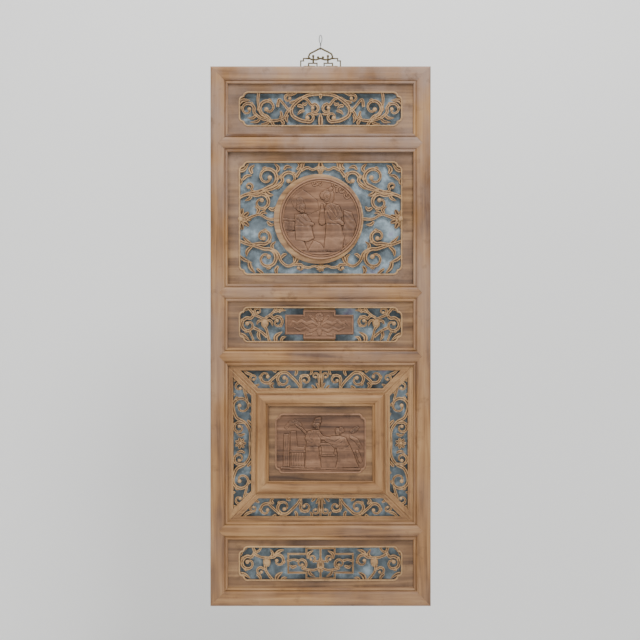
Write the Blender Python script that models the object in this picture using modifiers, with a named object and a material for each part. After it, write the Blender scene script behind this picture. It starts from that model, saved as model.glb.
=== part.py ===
"""A pierced and carved wooden screen panel, framed up and hung from a brass hanger.

The frame is two stiles, a top and a bottom rail mitred at the corners, and four cross rails
that end in pointed tongues let into the stiles. The five bays hold openwork boards, a round
relief, a stepped plaque and a small framed relief, with thin painted boards behind them.

X runs to the right, Z up, and the front faces -Y. The origin is on the back of the top rail, at
mid-height, where the panel rests on its wall. Sizes are in millimetres, and a depth is measured
forward from the wall; the meshes are made in metres.
"""

import math
from collections import namedtuple

import bmesh
import bpy
from mathutils import Matrix, Vector, geometry

MM = 0.001
OBJECT_NAME = "pierced carved panel"

# Driving sizes of the frame
FRAME_WIDTH = 552
FRAME_DEPTH = 32
STILE_WIDTH = 44
TOP_RAIL_WIDTH = 44
BOTTOM_RAIL_WIDTH = 46
CROSS_RAIL_WIDTHS = (46, 44, 44, 45)
BAY_HEIGHTS = (125, 330, 116, 392, 120)
JOINT_GAP = 0.3
HALF_GAP = JOINT_GAP / 2

# Depths, forward from the wall
GROOVE_BACK = 4.7
GROOVE_FRONT = 22.3
GROOVE_REACH = 8
BACKING_BACK, BACKING_FRONT = 5, 9.7
BOARD_BACK, BOARD_FRONT = 10, 22
SUNK_BOARD_FRONT = 18
BEAD_RISE = 2

BAY_HALF_WIDTH = FRAME_WIDTH / 2 - STILE_WIDTH
FRAME_TOP = TOP_RAIL_WIDTH / 2
BOARD_EDGE = GROOVE_REACH - 1

# Cartouches: the beaded outlines with stepped corners
CARTOUCHE_WIDTH = 407
CARTOUCHE_HEIGHTS = {"top": 84, "medallion": 282, "narrow": 86, "bottom": 84}
CARTOUCHE_STEP = 21
BEAD_WIDTH = 4
ARC_STEPS = 2
MERGE_TOLERANCE = 0.01

# The round relief
MEDALLION_RADIUS = 103
MEDALLION_CENTRE = (0, -1)
MEDALLION_BACK, MEDALLION_GROUND, MEDALLION_FRONT = 12.3, 18.5, 24
RING_RADIUS = 112.5
RING_CENTRE = (-5, -2)
RING_FRONT = 20.4
ROUND_STEPS = 28

# The stepped plaque and the stepped openwork frame of the bottom board
PLAQUE_SHIFT = -3
PLAQUE_TALL = (82, 73)
PLAQUE_WIDE = (172, 50)
PLAQUE_BACK, PLAQUE_GROUND, PLAQUE_FRONT = 18.3, 23.3, 26.5
PLAQUE_BORDER = 6
STEPPED_TALL = (71, 76)
STEPPED_WIDE = (162, 47)
STEPPED_BAR = 6

# The square bay: four mitred border boards round a small frame
BORDER_WIDTH = 71
BORDER_MARGIN = 13
BORDER_BEAD = 2.5
INNER_MEMBER = 31
INNER_LIP = 5.5
RELIEF_SIZE = (224, 146)
RELIEF_STEP = 17
RELIEF_GROUND = 18.5

# Carved bands
VOLUTE_STEP = 66
DISSOLVE_ANGLE = 0.3
CURL = 1.5

# The hanger and its wire eye
HANGER_BACK, HANGER_FRONT = 2.3, 4.7
HANGER_STROKE = 4.2
HANGER_PEAK = 71.9
POCKET_DEPTH = 5
TAB_CENTRE, TAB_WIDTH, TAB_BOTTOM = 28, 30, -2
TAB_TOP = 27
SCREW_HEIGHT = 6
SCREW_RADIUS, SCREW_HEAD_RADIUS, SCREW_LENGTH = 1.5, 3.2, 14
SCREW_HOLE_RADIUS = 1.9
CUTTER_REACH = 3
WIRE_RADIUS = 0.9
UPPER_EYE = (3.4, 9.9, 94.3)
LOWER_EYE = (
    (-2, 67.6), (2, 67.6), (2.5, 68.1), (2.5, 76.3), (1.2, 77.6), (-1.2, 77.6), (-2.5, 76.3), (-2.5, 68.1),
)

# Finishes: base colour, roughness, metallic
FINISHES = {
    "frame_wood": ((0.24, 0.13, 0.062), 0.5, 0.0),
    "carved_wood": ((0.26, 0.145, 0.072), 0.55, 0.0),
    "relief_wood": ((0.2, 0.1, 0.055), 0.55, 0.0),
    "painted_ground": ((0.16, 0.19, 0.2), 0.75, 0.0),
    "hanger_brass": ((0.3, 0.23, 0.11), 0.45, 1.0),
    "steel_wire": ((0.14, 0.14, 0.145), 0.45, 1.0),
}

# A carved band: a stem through the tail's points that ends in a volute, or only the stem
Scroll = namedtuple("Scroll", "tail centre radius start sweep width")


def stem(*points, width=5):
    return Scroll(points, None, 0, 0, 0, width)


# Left halves of the openwork, from the centre of each cartouche
TOP_SCROLLS = (
    Scroll(((-116, -44), (-124, -31)), (-132, 3), 22, -95, -400, 9),
    Scroll(((-126, -30), (-147, -24), (-161, -15)), (-183, -1), 17, -20, 390, 8),
    stem((-155, 43), (-157, 22), (-153, 4), width=7.5),
    stem((-126, -29), (-92, -22), (-77, 0), width=8),
    stem((-113, 12), (-104, 24), (-77, 0), width=7.5),
    Scroll(((-56, 44), (-68, 38)), (-81, 27), 9.5, 60, 290, 7),
    Scroll(((3, 38), (-30, 35), (-54, 22), (-72, 3), (-70, -16), (-50, -28)), (-29, -20), 12, -115, 330, 9),
    Scroll(((-46, 29), (-34, 24)), (-16, 1), 12, 125, -330, 7.5),
)
TOP_LEAF = stem((0, -44), (0, -13), width=7)

MEDALLION_SCROLLS = (
    Scroll(((-206, 52), (-180, 62), (-152, 68)), (-134, 103), 25, -80, 430, 9.5),
    Scroll(((-146, 69), (-119, 75)), (-78, 98), 20, 200, -320, 9),
    Scroll(((-206, 50), (-186, 60)), (-149, 40), 21, 125, -410, 9),
    Scroll(((-156, 65), (-168, 68)), (-180, 80), 9.5, -50, 300, 6),
    Scroll(((-206, -56), (-178, -66)), (-144, -46), 19, -115, 400, 9),
    Scroll(((-178, -65), (-160, -71)), (-135, -101), 25, 105, -425, 9.5),
    stem((-124, -78), (-108, -88), (-99, -108), (-80, -121), (-64, -110), (-55, -94), width=9),
    stem((-78, -118), (-46, -122), (-41, -144), width=8),
    stem((-46, -121), (-4, -122), width=7),
    stem((-43, 144), (-47, 126), (-62, 104), width=9),
    stem((-49, 122), (-20, 125), (3, 125), width=8),
    stem((-186, -2), (-152, 7), (-100, -2), width=7.5),
)
MEDALLION_LINK = stem((0, 129), (0, 106), width=10)
PEONY = ((-201, -2), 25, 5)
LOWER_FLOWER = ((0, -124), 10, 2)

NARROW_SCROLLS = (
    Scroll(((-184, 45), (-169, 27)), (-181, -1), 18.5, 70, 420, 8.5),
    Scroll(((-171, 24),), (-157, 33), 9, 215, -310, 6),
    stem((-169, 26), (-143, 15), (-117, 33), (-112, 46), width=7),
    Scroll(((-134, 20),), (-108, 6), 14, 135, -390, 7.5),
    stem((-141, -4), (-134, -20), (-127, -46), width=7.5),
    stem((-168, -8), (-134, -31), width=7.5),
    stem((-114, -46), (-112, -28), (-96, -18), width=8),
)
NARROW_BUD = ((-140, 4), (10, 13))

BOTTOM_SCROLLS = (
    Scroll(((-171, 45), (-166, 28)), (-181, 0), 18, 65, 420, 8.5),
    stem((-150, 45), (-168, 25), width=7),
    stem((-168, 24), (-134, 12), width=7.5),
    Scroll(((-140, 13),), (-106, 6), 16, 145, -340, 7.5),
    stem((-139, -4), (-137, -18), (-117, -46), width=7.5),
    Scroll(((-136, -16),), (-151, -20), 10, 40, 290, 6),
    stem((-109, -46), (-106, -30), (-95, -22), width=8),
    Scroll(((3, -9), (-18, -17)), (-48, -1), 12.5, -75, 380, 6.5),
    stem((-52, 8), (-96, 5), width=6),
)
BOTTOM_BUD = ((-135, 3), (10, 13))
BOTTOM_DIAMOND = ((0, -4), (10, 14))
BOTTOM_POST = stem((0, 45), (0, -45), width=6)

# Half patterns of the border boards, from the centre of the square bay
BORDER_TOP_SCROLLS = (
    Scroll(((-46, 130), (-57, 150)), (-92, 160), 18.5, 35, 400, 8),
    Scroll(((-103, 177),), (-137, 167), 16.5, -25, -330, 7.5),
    Scroll(((-178, 151),), (-168, 163), 8.5, 200, -290, 5.5),
    Scroll(((-50, 130),), (-38, 159), 13.5, 215, -370, 7),
    Scroll(((-3, 130), (-4, 155)), (-13, 169), 8, -15, 290, 5.5),
)
BORDER_TOP_POST = stem((0, 130), (0, 189), width=7)
BORDER_SIDE_SCROLLS = (
    Scroll(((-184, 108),), (-204, 141), 12.5, -20, 330, 7),
    Scroll(((-177, 0), (-177, 30), (-190, 52), (-210, 64)), (-198, 93), 22, 200, -400, 8),
    Scroll(((-188, 51),), (-204, 39), 14, 70, 380, 7),
)
BORDER_ROSETTE = ((-201, 0), 13, 4)
BORDER_ROSETTE_LINK = stem((-226, 0), (-167, 0), width=7)

# The hanger's strokes, left half, above the top rail's mid-height
HANGER_ARCH = ((1, HANGER_PEAK + 0.3), (-10, 66.5), (-27, 57.5), (-30, 51), (-28.5, 44))
HANGER_SHOULDER = ((-28, 45.5), (-43, 45.5), (-43, 39.5), (-50, 39.5), (-50, 21), (-38, 21))
HANGER_SCALLOP = ((-31, 47), (-16, 42.3), (1, 46))
HANGER_STEM = ((-18.5, 51), (-18.5, 32))
HANGER_KNOBS = ((-18.5, 51.5), (-6.2, 48.2))
HANGER_KNOB_RADIUS = 3.2
HANGER_HOOK = ((-30, 22), (-30, 33.5), (-9, 33.5), (-9, 24.5), (1, 24.5))


def clear_scene():
    for obj in list(bpy.data.objects):
        bpy.data.objects.remove(obj)


def new_collection(name):
    collection = bpy.data.collections.new(name)
    bpy.context.scene.collection.children.link(collection)
    return collection


def finish_material(name):
    """A Principled material of the finish, made the first time that it is asked for."""
    material = bpy.data.materials.get(name)
    if material:
        return material
    colour, roughness, metallic = FINISHES[name]
    material = bpy.data.materials.new(name)
    material.use_nodes = True
    shader = material.node_tree.nodes["Principled BSDF"]
    shader.inputs["Base Color"].default_value = (*colour, 1)
    shader.inputs["Roughness"].default_value = roughness
    shader.inputs["Metallic"].default_value = metallic
    material.diffuse_color = (*colour, 1)
    return material


def axes(x_axis, y_axis):
    """The turn that takes the drawing plane's axes to these two, and its normal to their product."""
    x_axis, y_axis = Vector(x_axis), Vector(y_axis)
    columns = (x_axis, y_axis, x_axis.cross(y_axis))
    return Matrix([[column[row] for column in columns] for row in range(3)]).to_4x4()


# Drawn on the front with depth forward, across a rail, and across a stile
FACE = axes((1, 0, 0), (0, 0, 1))
RAIL_SECTION = axes((0, 0, 1), (0, -1, 0))
STILE_SECTION = axes((-1, 0, 0), (0, -1, 0))


def mesh_object(name, mesh, collection, finish=None):
    obj = bpy.data.objects.new(name, mesh)
    collection.objects.link(obj)
    if finish:
        mesh.materials.append(finish_material(finish))
    return obj


def as_helper(obj):
    obj.hide_render = True
    obj.display_type = "WIRE"
    return obj


def edit(mesh, *steps):
    """Runs bmesh steps on a mesh, then points its faces outwards."""
    bm = bmesh.new()
    bm.from_mesh(mesh)
    for step in steps:
        step(bm)
    bmesh.ops.recalc_face_normals(bm, faces=bm.faces)
    bm.to_mesh(mesh)
    bm.free()
    return mesh


def thickened(name, points, faces, low, high):
    """Drawn faces, joined where they lie together, thickened between two depths."""
    mesh = bpy.data.meshes.new(name)
    mesh.from_pydata([(x * MM, y * MM, low * MM) for x, y in points], [], faces)

    def thicken(bm):
        bmesh.ops.dissolve_limit(bm, angle_limit=DISSOLVE_ANGLE, verts=bm.verts, edges=bm.edges)
        loose = [vert for vert in bm.verts if not vert.link_faces]
        bmesh.ops.delete(bm, geom=loose, context="VERTS")
        raised = bmesh.ops.extrude_face_region(bm, geom=bm.faces[:])["geom"]
        top = [item for item in raised if isinstance(item, bmesh.types.BMVert)]
        bmesh.ops.translate(bm, vec=(0, 0, (high - low) * MM), verts=top)

    edit(mesh, thicken)
    mesh.transform(FACE)
    return edit(mesh)


def weld(bm):
    bmesh.ops.remove_doubles(bm, verts=bm.verts, dist=0.002 * MM)


def curve_mesh(curve, name):
    """The closed mesh of a curve, with its caps welded on."""
    guide = bpy.data.objects.new(name, curve)
    mesh = bpy.data.meshes.new_from_object(guide)
    bpy.data.objects.remove(guide)
    bpy.data.curves.remove(curve)
    mesh.name = name
    return edit(mesh, weld)


def add_spline(curve, points):
    spline = curve.splines.new("POLY")
    spline.points.add(len(points) - 1)
    for point, place in zip(spline.points, points):
        point.co = (*(Vector(place) * MM).to_3d(), 1)
    spline.use_cyclic_u = True


def extruded(name, outlines, low, high, plane=FACE, place=(0, 0, 0)):
    """A filled outline, with any holes after it, extruded between two heights over its plane."""
    curve = bpy.data.curves.new(name, "CURVE")
    curve.dimensions = "2D"
    curve.fill_mode = "BOTH"
    curve.extrude = (high - low) / 2 * MM
    for outline in outlines:
        add_spline(curve, outline)
    mesh = curve_mesh(curve, name)
    lift = Matrix.Translation((0, 0, (high + low) / 2 * MM))
    mesh.transform(Matrix.Translation(Vector(place) * MM) @ plane @ lift)
    return edit(mesh)


def anticlockwise(outline):
    """The outline in the turning sense that the merge of flat shapes asks for."""
    pairs = zip(outline, outline[1:] + outline[:1])
    area = sum(x * next_y - next_x * y for (x, y), (next_x, next_y) in pairs)
    return outline if area > 0 else outline[::-1]


def merged(name, shapes, low, high, whole=None, opening=None):
    """The union of flat shapes as one layer, with a whole board that has an opening if given."""
    frame = [whole, opening] if whole else []
    points, faces = [], []
    for outline in frame + list(shapes):
        faces.append(list(range(len(points), len(points) + len(outline))))
        points += anticlockwise(outline)
    flat = [Vector(point) for point in points]
    drawn, _, cells, _, _, owners = geometry.delaunay_2d_cdt(flat, [], faces, 1, MERGE_TOLERANCE)
    kept = []
    for cell, owner in zip(cells, owners):
        carved = any(shape >= len(frame) for shape in owner)
        if carved or (whole and 0 in owner and 1 not in owner):
            kept.append(cell)
    return thickened(name, [tuple(point) for point in drawn], kept, low, high)


def trim(mesh, point, outward):
    """Cuts off what lies beyond a plane and closes the cut."""

    def cut(bm):
        geometry = bm.verts[:] + bm.edges[:] + bm.faces[:]
        bmesh.ops.bisect_plane(
            bm, geom=geometry, plane_co=Vector(point) * MM, plane_no=outward, clear_outer=True
        )
        rim = [edge for edge in bm.edges if edge.is_boundary]
        bmesh.ops.edgeloop_fill(bm, edges=rim)

    return edit(mesh, cut)


def boolean(obj, operation, operand):
    """A Boolean by one object or by all of a collection's objects."""
    modifier = obj.modifiers.new(operation.title(), "BOOLEAN")
    modifier.operation = operation
    modifier.solver = "EXACT"
    if isinstance(operand, bpy.types.Collection):
        modifier.operand_type = "COLLECTION"
        modifier.collection = operand
    else:
        modifier.object = operand


def helper_collection(name, helpers, meshes):
    """A collection under the helpers, with one helper object for each mesh."""
    collection = bpy.data.collections.new(name)
    helpers.children.link(collection)
    for mesh in meshes:
        as_helper(mesh_object(mesh.name, mesh, collection))
    return collection


def rectangle(width, height, centre=(0, 0)):
    x, z = centre
    half_width, half_height = width / 2, height / 2
    return [
        (x - half_width, z - half_height),
        (x + half_width, z - half_height),
        (x + half_width, z + half_height),
        (x - half_width, z + half_height),
    ]


def ellipse(centre, radii, steps):
    turns = (2 * math.pi * step / steps for step in range(steps))
    return [
        (centre[0] + radii[0] * math.cos(turn), centre[1] + radii[1] * math.sin(turn))
        for turn in turns
    ]


def rosette(centre, radius, lobe, petals, points_per_petal=4):
    """A flower's outline, its radius rising and falling once for each petal."""
    steps = petals * points_per_petal
    outline = []
    for step in range(steps):
        turn = 2 * math.pi * step / steps
        reach = radius + lobe * math.cos(petals * turn)
        outline.append((centre[0] + reach * math.cos(turn), centre[1] + reach * math.sin(turn)))
    return outline


def stepped_corners(width, height, step, centre=(0, 0)):
    """A rectangle whose corners are cut by two rounded steps with a cusp between them."""
    outline = []
    for x_side, z_side, backwards in ((1, 1, False), (-1, 1, True), (-1, -1, False), (1, -1, True)):
        corner = []
        for lobe_x, lobe_z in ((0.5, 1), (1, 0.5)):
            for arc in range(ARC_STEPS + 1):
                turn = math.pi / 2 * arc / ARC_STEPS
                x = width / 2 - step * lobe_x + step / 2 * math.cos(turn)
                z = height / 2 - step * lobe_z + step / 2 * math.sin(turn)
                if not corner or arc:
                    corner.append((centre[0] + x_side * x, centre[1] + z_side * z))
        outline += corner[::-1] if backwards else corner
    return outline


def cross_outline(tall, wide, grow=0.0):
    """A stepped cross: a tall block over a wide one, grown or shrunk all round."""
    tall_x, tall_z = tall[0] / 2 + grow, tall[1] / 2 + grow
    wide_x, wide_z = wide[0] / 2 + grow, wide[1] / 2 + grow
    quarter = [(wide_x, wide_z), (tall_x, wide_z), (tall_x, tall_z)]
    upper = quarter + [(-x, z) for x, z in reversed(quarter)]
    return upper + [(x, -z) for x, z in reversed(upper)]


def shifted(outline, dx, dz):
    return [(x + dx, z + dz) for x, z in outline]


def volute_points(scroll):
    """The turns of a volute, round at first and tightening towards its eye."""
    fineness = min(1, 0.6 + scroll.radius / 50)
    steps = max(3, round(abs(scroll.sweep) / VOLUTE_STEP * fineness))
    eye_radius = max(0.3 * scroll.radius, 0.6 * scroll.width)
    points = []
    for step in range(steps + 1):
        share = step / steps
        radius = scroll.radius - (scroll.radius - eye_radius) * share**CURL
        turn = math.radians(scroll.start + scroll.sweep * share)
        points.append(
            (scroll.centre[0] + radius * math.cos(turn), scroll.centre[1] + radius * math.sin(turn))
        )
    return points


def band_shapes(scroll):
    """The short pieces of a band, which is full at its root and swells into a knob at its eye."""
    points = list(scroll.tail)
    if scroll.radius:
        points += volute_points(scroll)
    path = [Vector(point) for point in points]
    edges = []
    for index, point in enumerate(path):
        along = path[min(index + 1, len(path) - 1)] - path[max(index - 1, 0)]
        across = Vector((-along.y, along.x)).normalized() * scroll.width / 2
        if scroll.radius and index == len(path) - 1:
            across *= 1.15
        edges.append((tuple(point + across), tuple(point - across)))
    return [[*first, *second[::-1]] for first, second in zip(edges, edges[1:])]


def mirrored(scroll):
    return Scroll(
        tuple((-x, z) for x, z in scroll.tail),
        scroll.centre and (-scroll.centre[0], scroll.centre[1]),
        scroll.radius,
        180 - scroll.start,
        -scroll.sweep,
        scroll.width,
    )


def turned_over(scroll):
    return Scroll(
        tuple((x, -z) for x, z in scroll.tail),
        scroll.centre and (scroll.centre[0], -scroll.centre[1]),
        scroll.radius,
        -scroll.start,
        -scroll.sweep,
        scroll.width,
    )


def both_sides(scrolls):
    return list(scrolls) + [mirrored(scroll) for scroll in scrolls]


def boss(name, outline, low, high, shrink=0.7):
    """A raised form whose front is smaller than its foot."""
    mesh = extruded(name, [outline], low, high)
    middle_x = sum(x for x, _ in outline) / len(outline) * MM
    middle_z = sum(z for _, z in outline) / len(outline) * MM

    def draw_in(bm):
        front = -(low + high) / 2 * MM
        for vert in bm.verts:
            if vert.co.y < front:
                vert.co.x = middle_x + (vert.co.x - middle_x) * shrink
                vert.co.z = middle_z + (vert.co.z - middle_z) * shrink

    return edit(mesh, draw_in)


def head(name, centre, depth, radii):
    """A head as a plain egg, half sunk in its ground."""
    bm = bmesh.new()
    bmesh.ops.create_uvsphere(bm, u_segments=6, v_segments=5, radius=1)
    mesh = bpy.data.meshes.new(name)
    bm.to_mesh(mesh)
    bm.free()
    size = Matrix.Diagonal((radii[0] * MM, radii[2] * MM, radii[1] * MM, 1))
    place = Matrix.Translation((centre[0] * MM, -depth * MM, centre[1] * MM))
    mesh.transform(place @ size)
    return mesh


def turned(name, profile, steps, centre, collection, finish=None):
    """A shape turned about an axis that points out of the wall, from radius and depth pairs."""
    mesh = bpy.data.meshes.new(name)
    bm = bmesh.new()
    verts = [bm.verts.new((radius * MM, 0, depth * MM)) for radius, depth in profile]
    for first, second in zip(verts, verts[1:]):
        bm.edges.new((first, second))
    bm.to_mesh(mesh)
    bm.free()
    obj = mesh_object(name, mesh, collection, finish)
    obj.location = (centre[0] * MM, 0, centre[1] * MM)
    obj.rotation_euler = (math.pi / 2, 0, 0)
    screw = obj.modifiers.new("Screw", "SCREW")
    screw.steps = screw.render_steps = steps
    screw.use_merge_vertices = True
    screw.merge_threshold = 0.00001
    return obj


def bay_layout():
    """The heights of the bays' centres and of the cross rails' centres."""
    depth = TOP_RAIL_WIDTH
    bays, rails = [], []
    for index, height in enumerate(BAY_HEIGHTS):
        bays.append(FRAME_TOP - depth - height / 2)
        depth += height
        if index < len(CROSS_RAIL_WIDTHS):
            rails.append(FRAME_TOP - depth - CROSS_RAIL_WIDTHS[index] / 2)
            depth += CROSS_RAIL_WIDTHS[index]
    return bays, rails, FRAME_TOP - depth - BOTTOM_RAIL_WIDTH


def beaded_edge():
    """The section next to a bay, from the groove's lip over the bead to the face, by distance in."""
    return [(0, GROOVE_FRONT), (0, 25.6), (2, 28.7), (5, 28.7), (7.6, 25.6), (9.8, 28.8), (14, 31)]


def grooved_back():
    return [(GROOVE_REACH, GROOVE_FRONT), (GROOVE_REACH, GROOVE_BACK), (0, GROOVE_BACK), (0, 0)]


def outer_section(width):
    """An outer member, measured outwards from its bay."""
    crown = [(width * 0.6, FRAME_DEPTH), (width - 5, FRAME_DEPTH - 1.4)]
    arris = [(width - 1, 28), (width, 24.5), (width, 0)]
    return beaded_edge() + crown + arris + grooved_back()[::-1]


def cross_section(width):
    """A cross rail, beaded and grooved along both edges, measured up from its lower bay."""
    near = beaded_edge()
    far = [(width - t, depth) for t, depth in reversed(near)]
    back = grooved_back()
    far_back = [(width - t, depth) for t, depth in back]
    return near + [(width / 2, FRAME_DEPTH)] + far + far_back + back[::-1]


def inner_section():
    """A member of the small frame, measured outwards from the relief, with a lip on each side."""
    front = [
        (0, GROOVE_FRONT), (0, 25), (2, 27.6), (5.2, 25.6), (7.5, 29), (14, 31), (21, 30.6),
        (26.5, 28), (28.4, 25.6), (30, 26.4), (INNER_MEMBER, 24.4),
    ]
    back = [
        (INNER_MEMBER, GROOVE_FRONT),
        (INNER_MEMBER - INNER_LIP, GROOVE_FRONT),
        (INNER_MEMBER - INNER_LIP, BOARD_BACK),
        (INNER_LIP, BOARD_BACK),
        (INNER_LIP, GROOVE_FRONT),
    ]
    return front + back


def member(name, section, inner_edge, side, reach, across, mitre_run):
    """A straight member along X or Z, with both ends mitred down to its bay's corners.

    inner_edge is where its bay starts, side is which way it lies from there, and mitre_run is
    how far the mitre runs along the member for the member's width.
    """
    width = max(t for t, _ in section)
    half = reach + mitre_run
    if across:
        plane, place = axes((0, 0, side), (0, -1, 0)), (0, 0, inner_edge)
    else:
        plane, place = axes((side, 0, 0), (0, -1, 0)), (inner_edge, 0, 0)
    mesh = extruded(name, [section], -half - 1, half + 1, plane, place)
    for end in (-1, 1):
        if across:
            point, outward = (end * (reach - HALF_GAP), 0, inner_edge), (end * width, 0, -side * mitre_run)
        else:
            point, outward = (inner_edge, 0, end * (reach - HALF_GAP)), (-side * mitre_run, 0, end * width)
        trim(mesh, point, Vector(outward).normalized())
    return mesh


def moved(mesh, x, z):
    mesh.transform(Matrix.Translation((x * MM, 0, z * MM)))
    return mesh


def stile(name, side, rails, bottom, parts, helpers):
    """A stile, mitred at both ends and notched for each cross rail's tongue and tenon."""
    inner = BAY_HALF_WIDTH
    section = outer_section(STILE_WIDTH)
    top_inner, bottom_inner = FRAME_TOP - TOP_RAIL_WIDTH, bottom + BOTTOM_RAIL_WIDTH
    plane, place = axes((side, 0, 0), (0, -1, 0)), (side * inner, 0, 0)
    heights = sorted((side * -(bottom - 1), side * -(FRAME_TOP + 1)))
    mesh = extruded(name, [section], *heights, plane, place)
    for z, rail_width, up in ((top_inner, TOP_RAIL_WIDTH, 1), (bottom_inner, BOTTOM_RAIL_WIDTH, -1)):
        outward = Vector((-side * rail_width, 0, up * STILE_WIDTH)).normalized()
        trim(mesh, (side * inner, 0, z - up * HALF_GAP), outward)
    obj = mesh_object(name, mesh, parts, "frame_wood")
    notches = []
    for index, (z, width) in enumerate(zip(rails, CROSS_RAIL_WIDTHS)):
        half = width / 2 + JOINT_GAP * math.sqrt(2)
        mouth = half + CUTTER_REACH
        vee = [
            (side * (inner - CUTTER_REACH), z - mouth),
            (side * (inner - CUTTER_REACH), z + mouth),
            (side * (inner + half), z),
        ]
        notches.append(extruded(f"{name}_notch_{index}", [vee], -CUTTER_REACH, FRAME_DEPTH + CUTTER_REACH))
    boolean(obj, "DIFFERENCE", helper_collection(f"{name}_notches", helpers, notches))
    return obj


def outer_rail(name, inner_edge, side, width, parts):
    mesh = member(name, outer_section(width), inner_edge, side, BAY_HALF_WIDTH, True, STILE_WIDTH)
    return mesh_object(name, mesh, parts, "frame_wood")


def cross_rail(name, z, width, parts):
    """A cross rail whose ends are pointed tongues that fit the stiles' notches."""
    tip = BAY_HALF_WIDTH + width / 2
    plane, place = axes((0, 0, 1), (0, -1, 0)), (0, 0, z - width / 2)
    mesh = extruded(name, [cross_section(width)], -tip - 1, tip + 1, plane, place)
    for side in (-1, 1):
        for up in (-1, 1):
            trim(mesh, (side * tip, 0, z), Vector((side, 0, up)).normalized())
    return mesh_object(name, mesh, parts, "frame_wood")


def cartouche(key, z, grow=0.0):
    """A cartouche's outline, grown or shrunk all round."""
    height = CARTOUCHE_HEIGHTS[key]
    return stepped_corners(CARTOUCHE_WIDTH + 2 * grow, height + 2 * grow, CARTOUCHE_STEP, (0, z))


def cartouche_board(name, key, bay, shapes, parts, helpers, front=BOARD_FRONT, raised=()):
    """A board pierced inside its cartouche, with the bead round it and the openwork that fills it."""
    index, z = bay
    edge = rectangle(2 * (BAY_HALF_WIDTH + BOARD_EDGE), BAY_HEIGHTS[index] + 2 * BOARD_EDGE, (0, z))
    opening = cartouche(key, z, -BEAD_WIDTH / 2 - 0.5)
    placed = [shifted(shape, 0, z) for shape in shapes]
    mesh = merged(name, placed, BOARD_BACK, front, edge, opening)
    obj = mesh_object(name, mesh, parts, "carved_wood")
    rings = [cartouche(key, z, BEAD_WIDTH / 2), cartouche(key, z, -BEAD_WIDTH / 2)]
    bead = extruded(f"{name}_bead", rings, front - 1, front + BEAD_RISE)
    boolean(obj, "UNION", helper_collection(f"{name}_carving", helpers, [bead, *raised]))
    return obj


def bands(scrolls):
    return [shape for scroll in scrolls for shape in band_shapes(scroll)]


def top_board(z, parts, helpers):
    shapes = bands(both_sides(TOP_SCROLLS) + [TOP_LEAF])
    return cartouche_board("top_panel", "top", (0, z), shapes, parts, helpers)


def medallion_board(z, parts, helpers):
    """The large board: scrolls and half peonies round a ring that the round relief is let into."""
    shapes = bands(both_sides(MEDALLION_SCROLLS) + [MEDALLION_LINK])
    centre, radius, lobe = PEONY
    for side in (-1, 1):
        shapes.append(rosette((side * -centre[0], centre[1]), radius, lobe, 7, 2))
    centre, radius, lobe = LOWER_FLOWER
    shapes.append(rosette(centre, radius, lobe, 5, 2))
    shapes.append(ellipse(RING_CENTRE, (RING_RADIUS + 1, RING_RADIUS + 1), ROUND_STEPS))
    disc = ellipse((RING_CENTRE[0], RING_CENTRE[1] + z), (RING_RADIUS, RING_RADIUS), ROUND_STEPS)
    ring = extruded("medallion_panel_ring", [disc], SUNK_BOARD_FRONT - 1, RING_FRONT)
    obj = cartouche_board(
        "medallion_panel", "medallion", (1, z), shapes, parts, helpers, SUNK_BOARD_FRONT, [ring]
    )
    seat_radius = MEDALLION_RADIUS + JOINT_GAP
    seat = ellipse((MEDALLION_CENTRE[0], MEDALLION_CENTRE[1] + z), (seat_radius, seat_radius), ROUND_STEPS)
    cutter = extruded("medallion_seat", [seat], MEDALLION_BACK - JOINT_GAP, FRAME_DEPTH)
    boolean(obj, "DIFFERENCE", as_helper(mesh_object("medallion_seat", cutter, helpers)))
    return obj


def narrow_board(z, parts, helpers):
    """The narrow board: side scrolls, and a solid stepped field that carries the plaque."""
    shapes = bands(both_sides(NARROW_SCROLLS))
    (x, bud_z), radii = NARROW_BUD
    shapes += [ellipse((side * -x, bud_z), radii, 6) for side in (-1, 1)]
    tall = (PLAQUE_TALL[0] - 4, CARTOUCHE_HEIGHTS["narrow"] + 2)
    wide = (PLAQUE_WIDE[0] - 4, PLAQUE_WIDE[1] - 4)
    shapes.append(shifted(cross_outline(tall, wide), PLAQUE_SHIFT, 0))
    obj = cartouche_board("narrow_panel", "narrow", (2, z), shapes, parts, helpers)
    seat = shifted(cross_outline(PLAQUE_TALL, PLAQUE_WIDE, JOINT_GAP), PLAQUE_SHIFT, z)
    cutter = extruded("plaque_seat", [seat], PLAQUE_BACK - JOINT_GAP, FRAME_DEPTH)
    boolean(obj, "DIFFERENCE", as_helper(mesh_object("plaque_seat", cutter, helpers)))
    return obj


def bottom_board(z, parts, helpers):
    """The bottom board: scrolls at the sides and inside a stepped frame of thin bars."""
    shapes = bands(both_sides(BOTTOM_SCROLLS) + [BOTTOM_POST])
    (x, bud_z), radii = BOTTOM_BUD
    shapes += [ellipse((side * -x, bud_z), radii, 6) for side in (-1, 1)]
    shapes.append(ellipse(*BOTTOM_DIAMOND, 4))
    corners = cross_outline(STEPPED_TALL, STEPPED_WIDE)
    half = STEPPED_BAR / 2
    for (x, y), (next_x, next_y) in zip(corners, corners[1:] + corners[:1]):
        centre = ((x + next_x) / 2, (y + next_y) / 2)
        shapes.append(rectangle(abs(next_x - x) + 2 * half, abs(next_y - y) + 2 * half, centre))
    for side in (-1, 1):
        for up in (-1, 1):
            tie = (side * STEPPED_TALL[0] / 2, up * CARTOUCHE_HEIGHTS["bottom"] / 2)
            shapes.append(rectangle(STEPPED_BAR, 12, tie))
    return cartouche_board("bottom_panel", "bottom", (4, z), shapes, parts, helpers)


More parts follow.
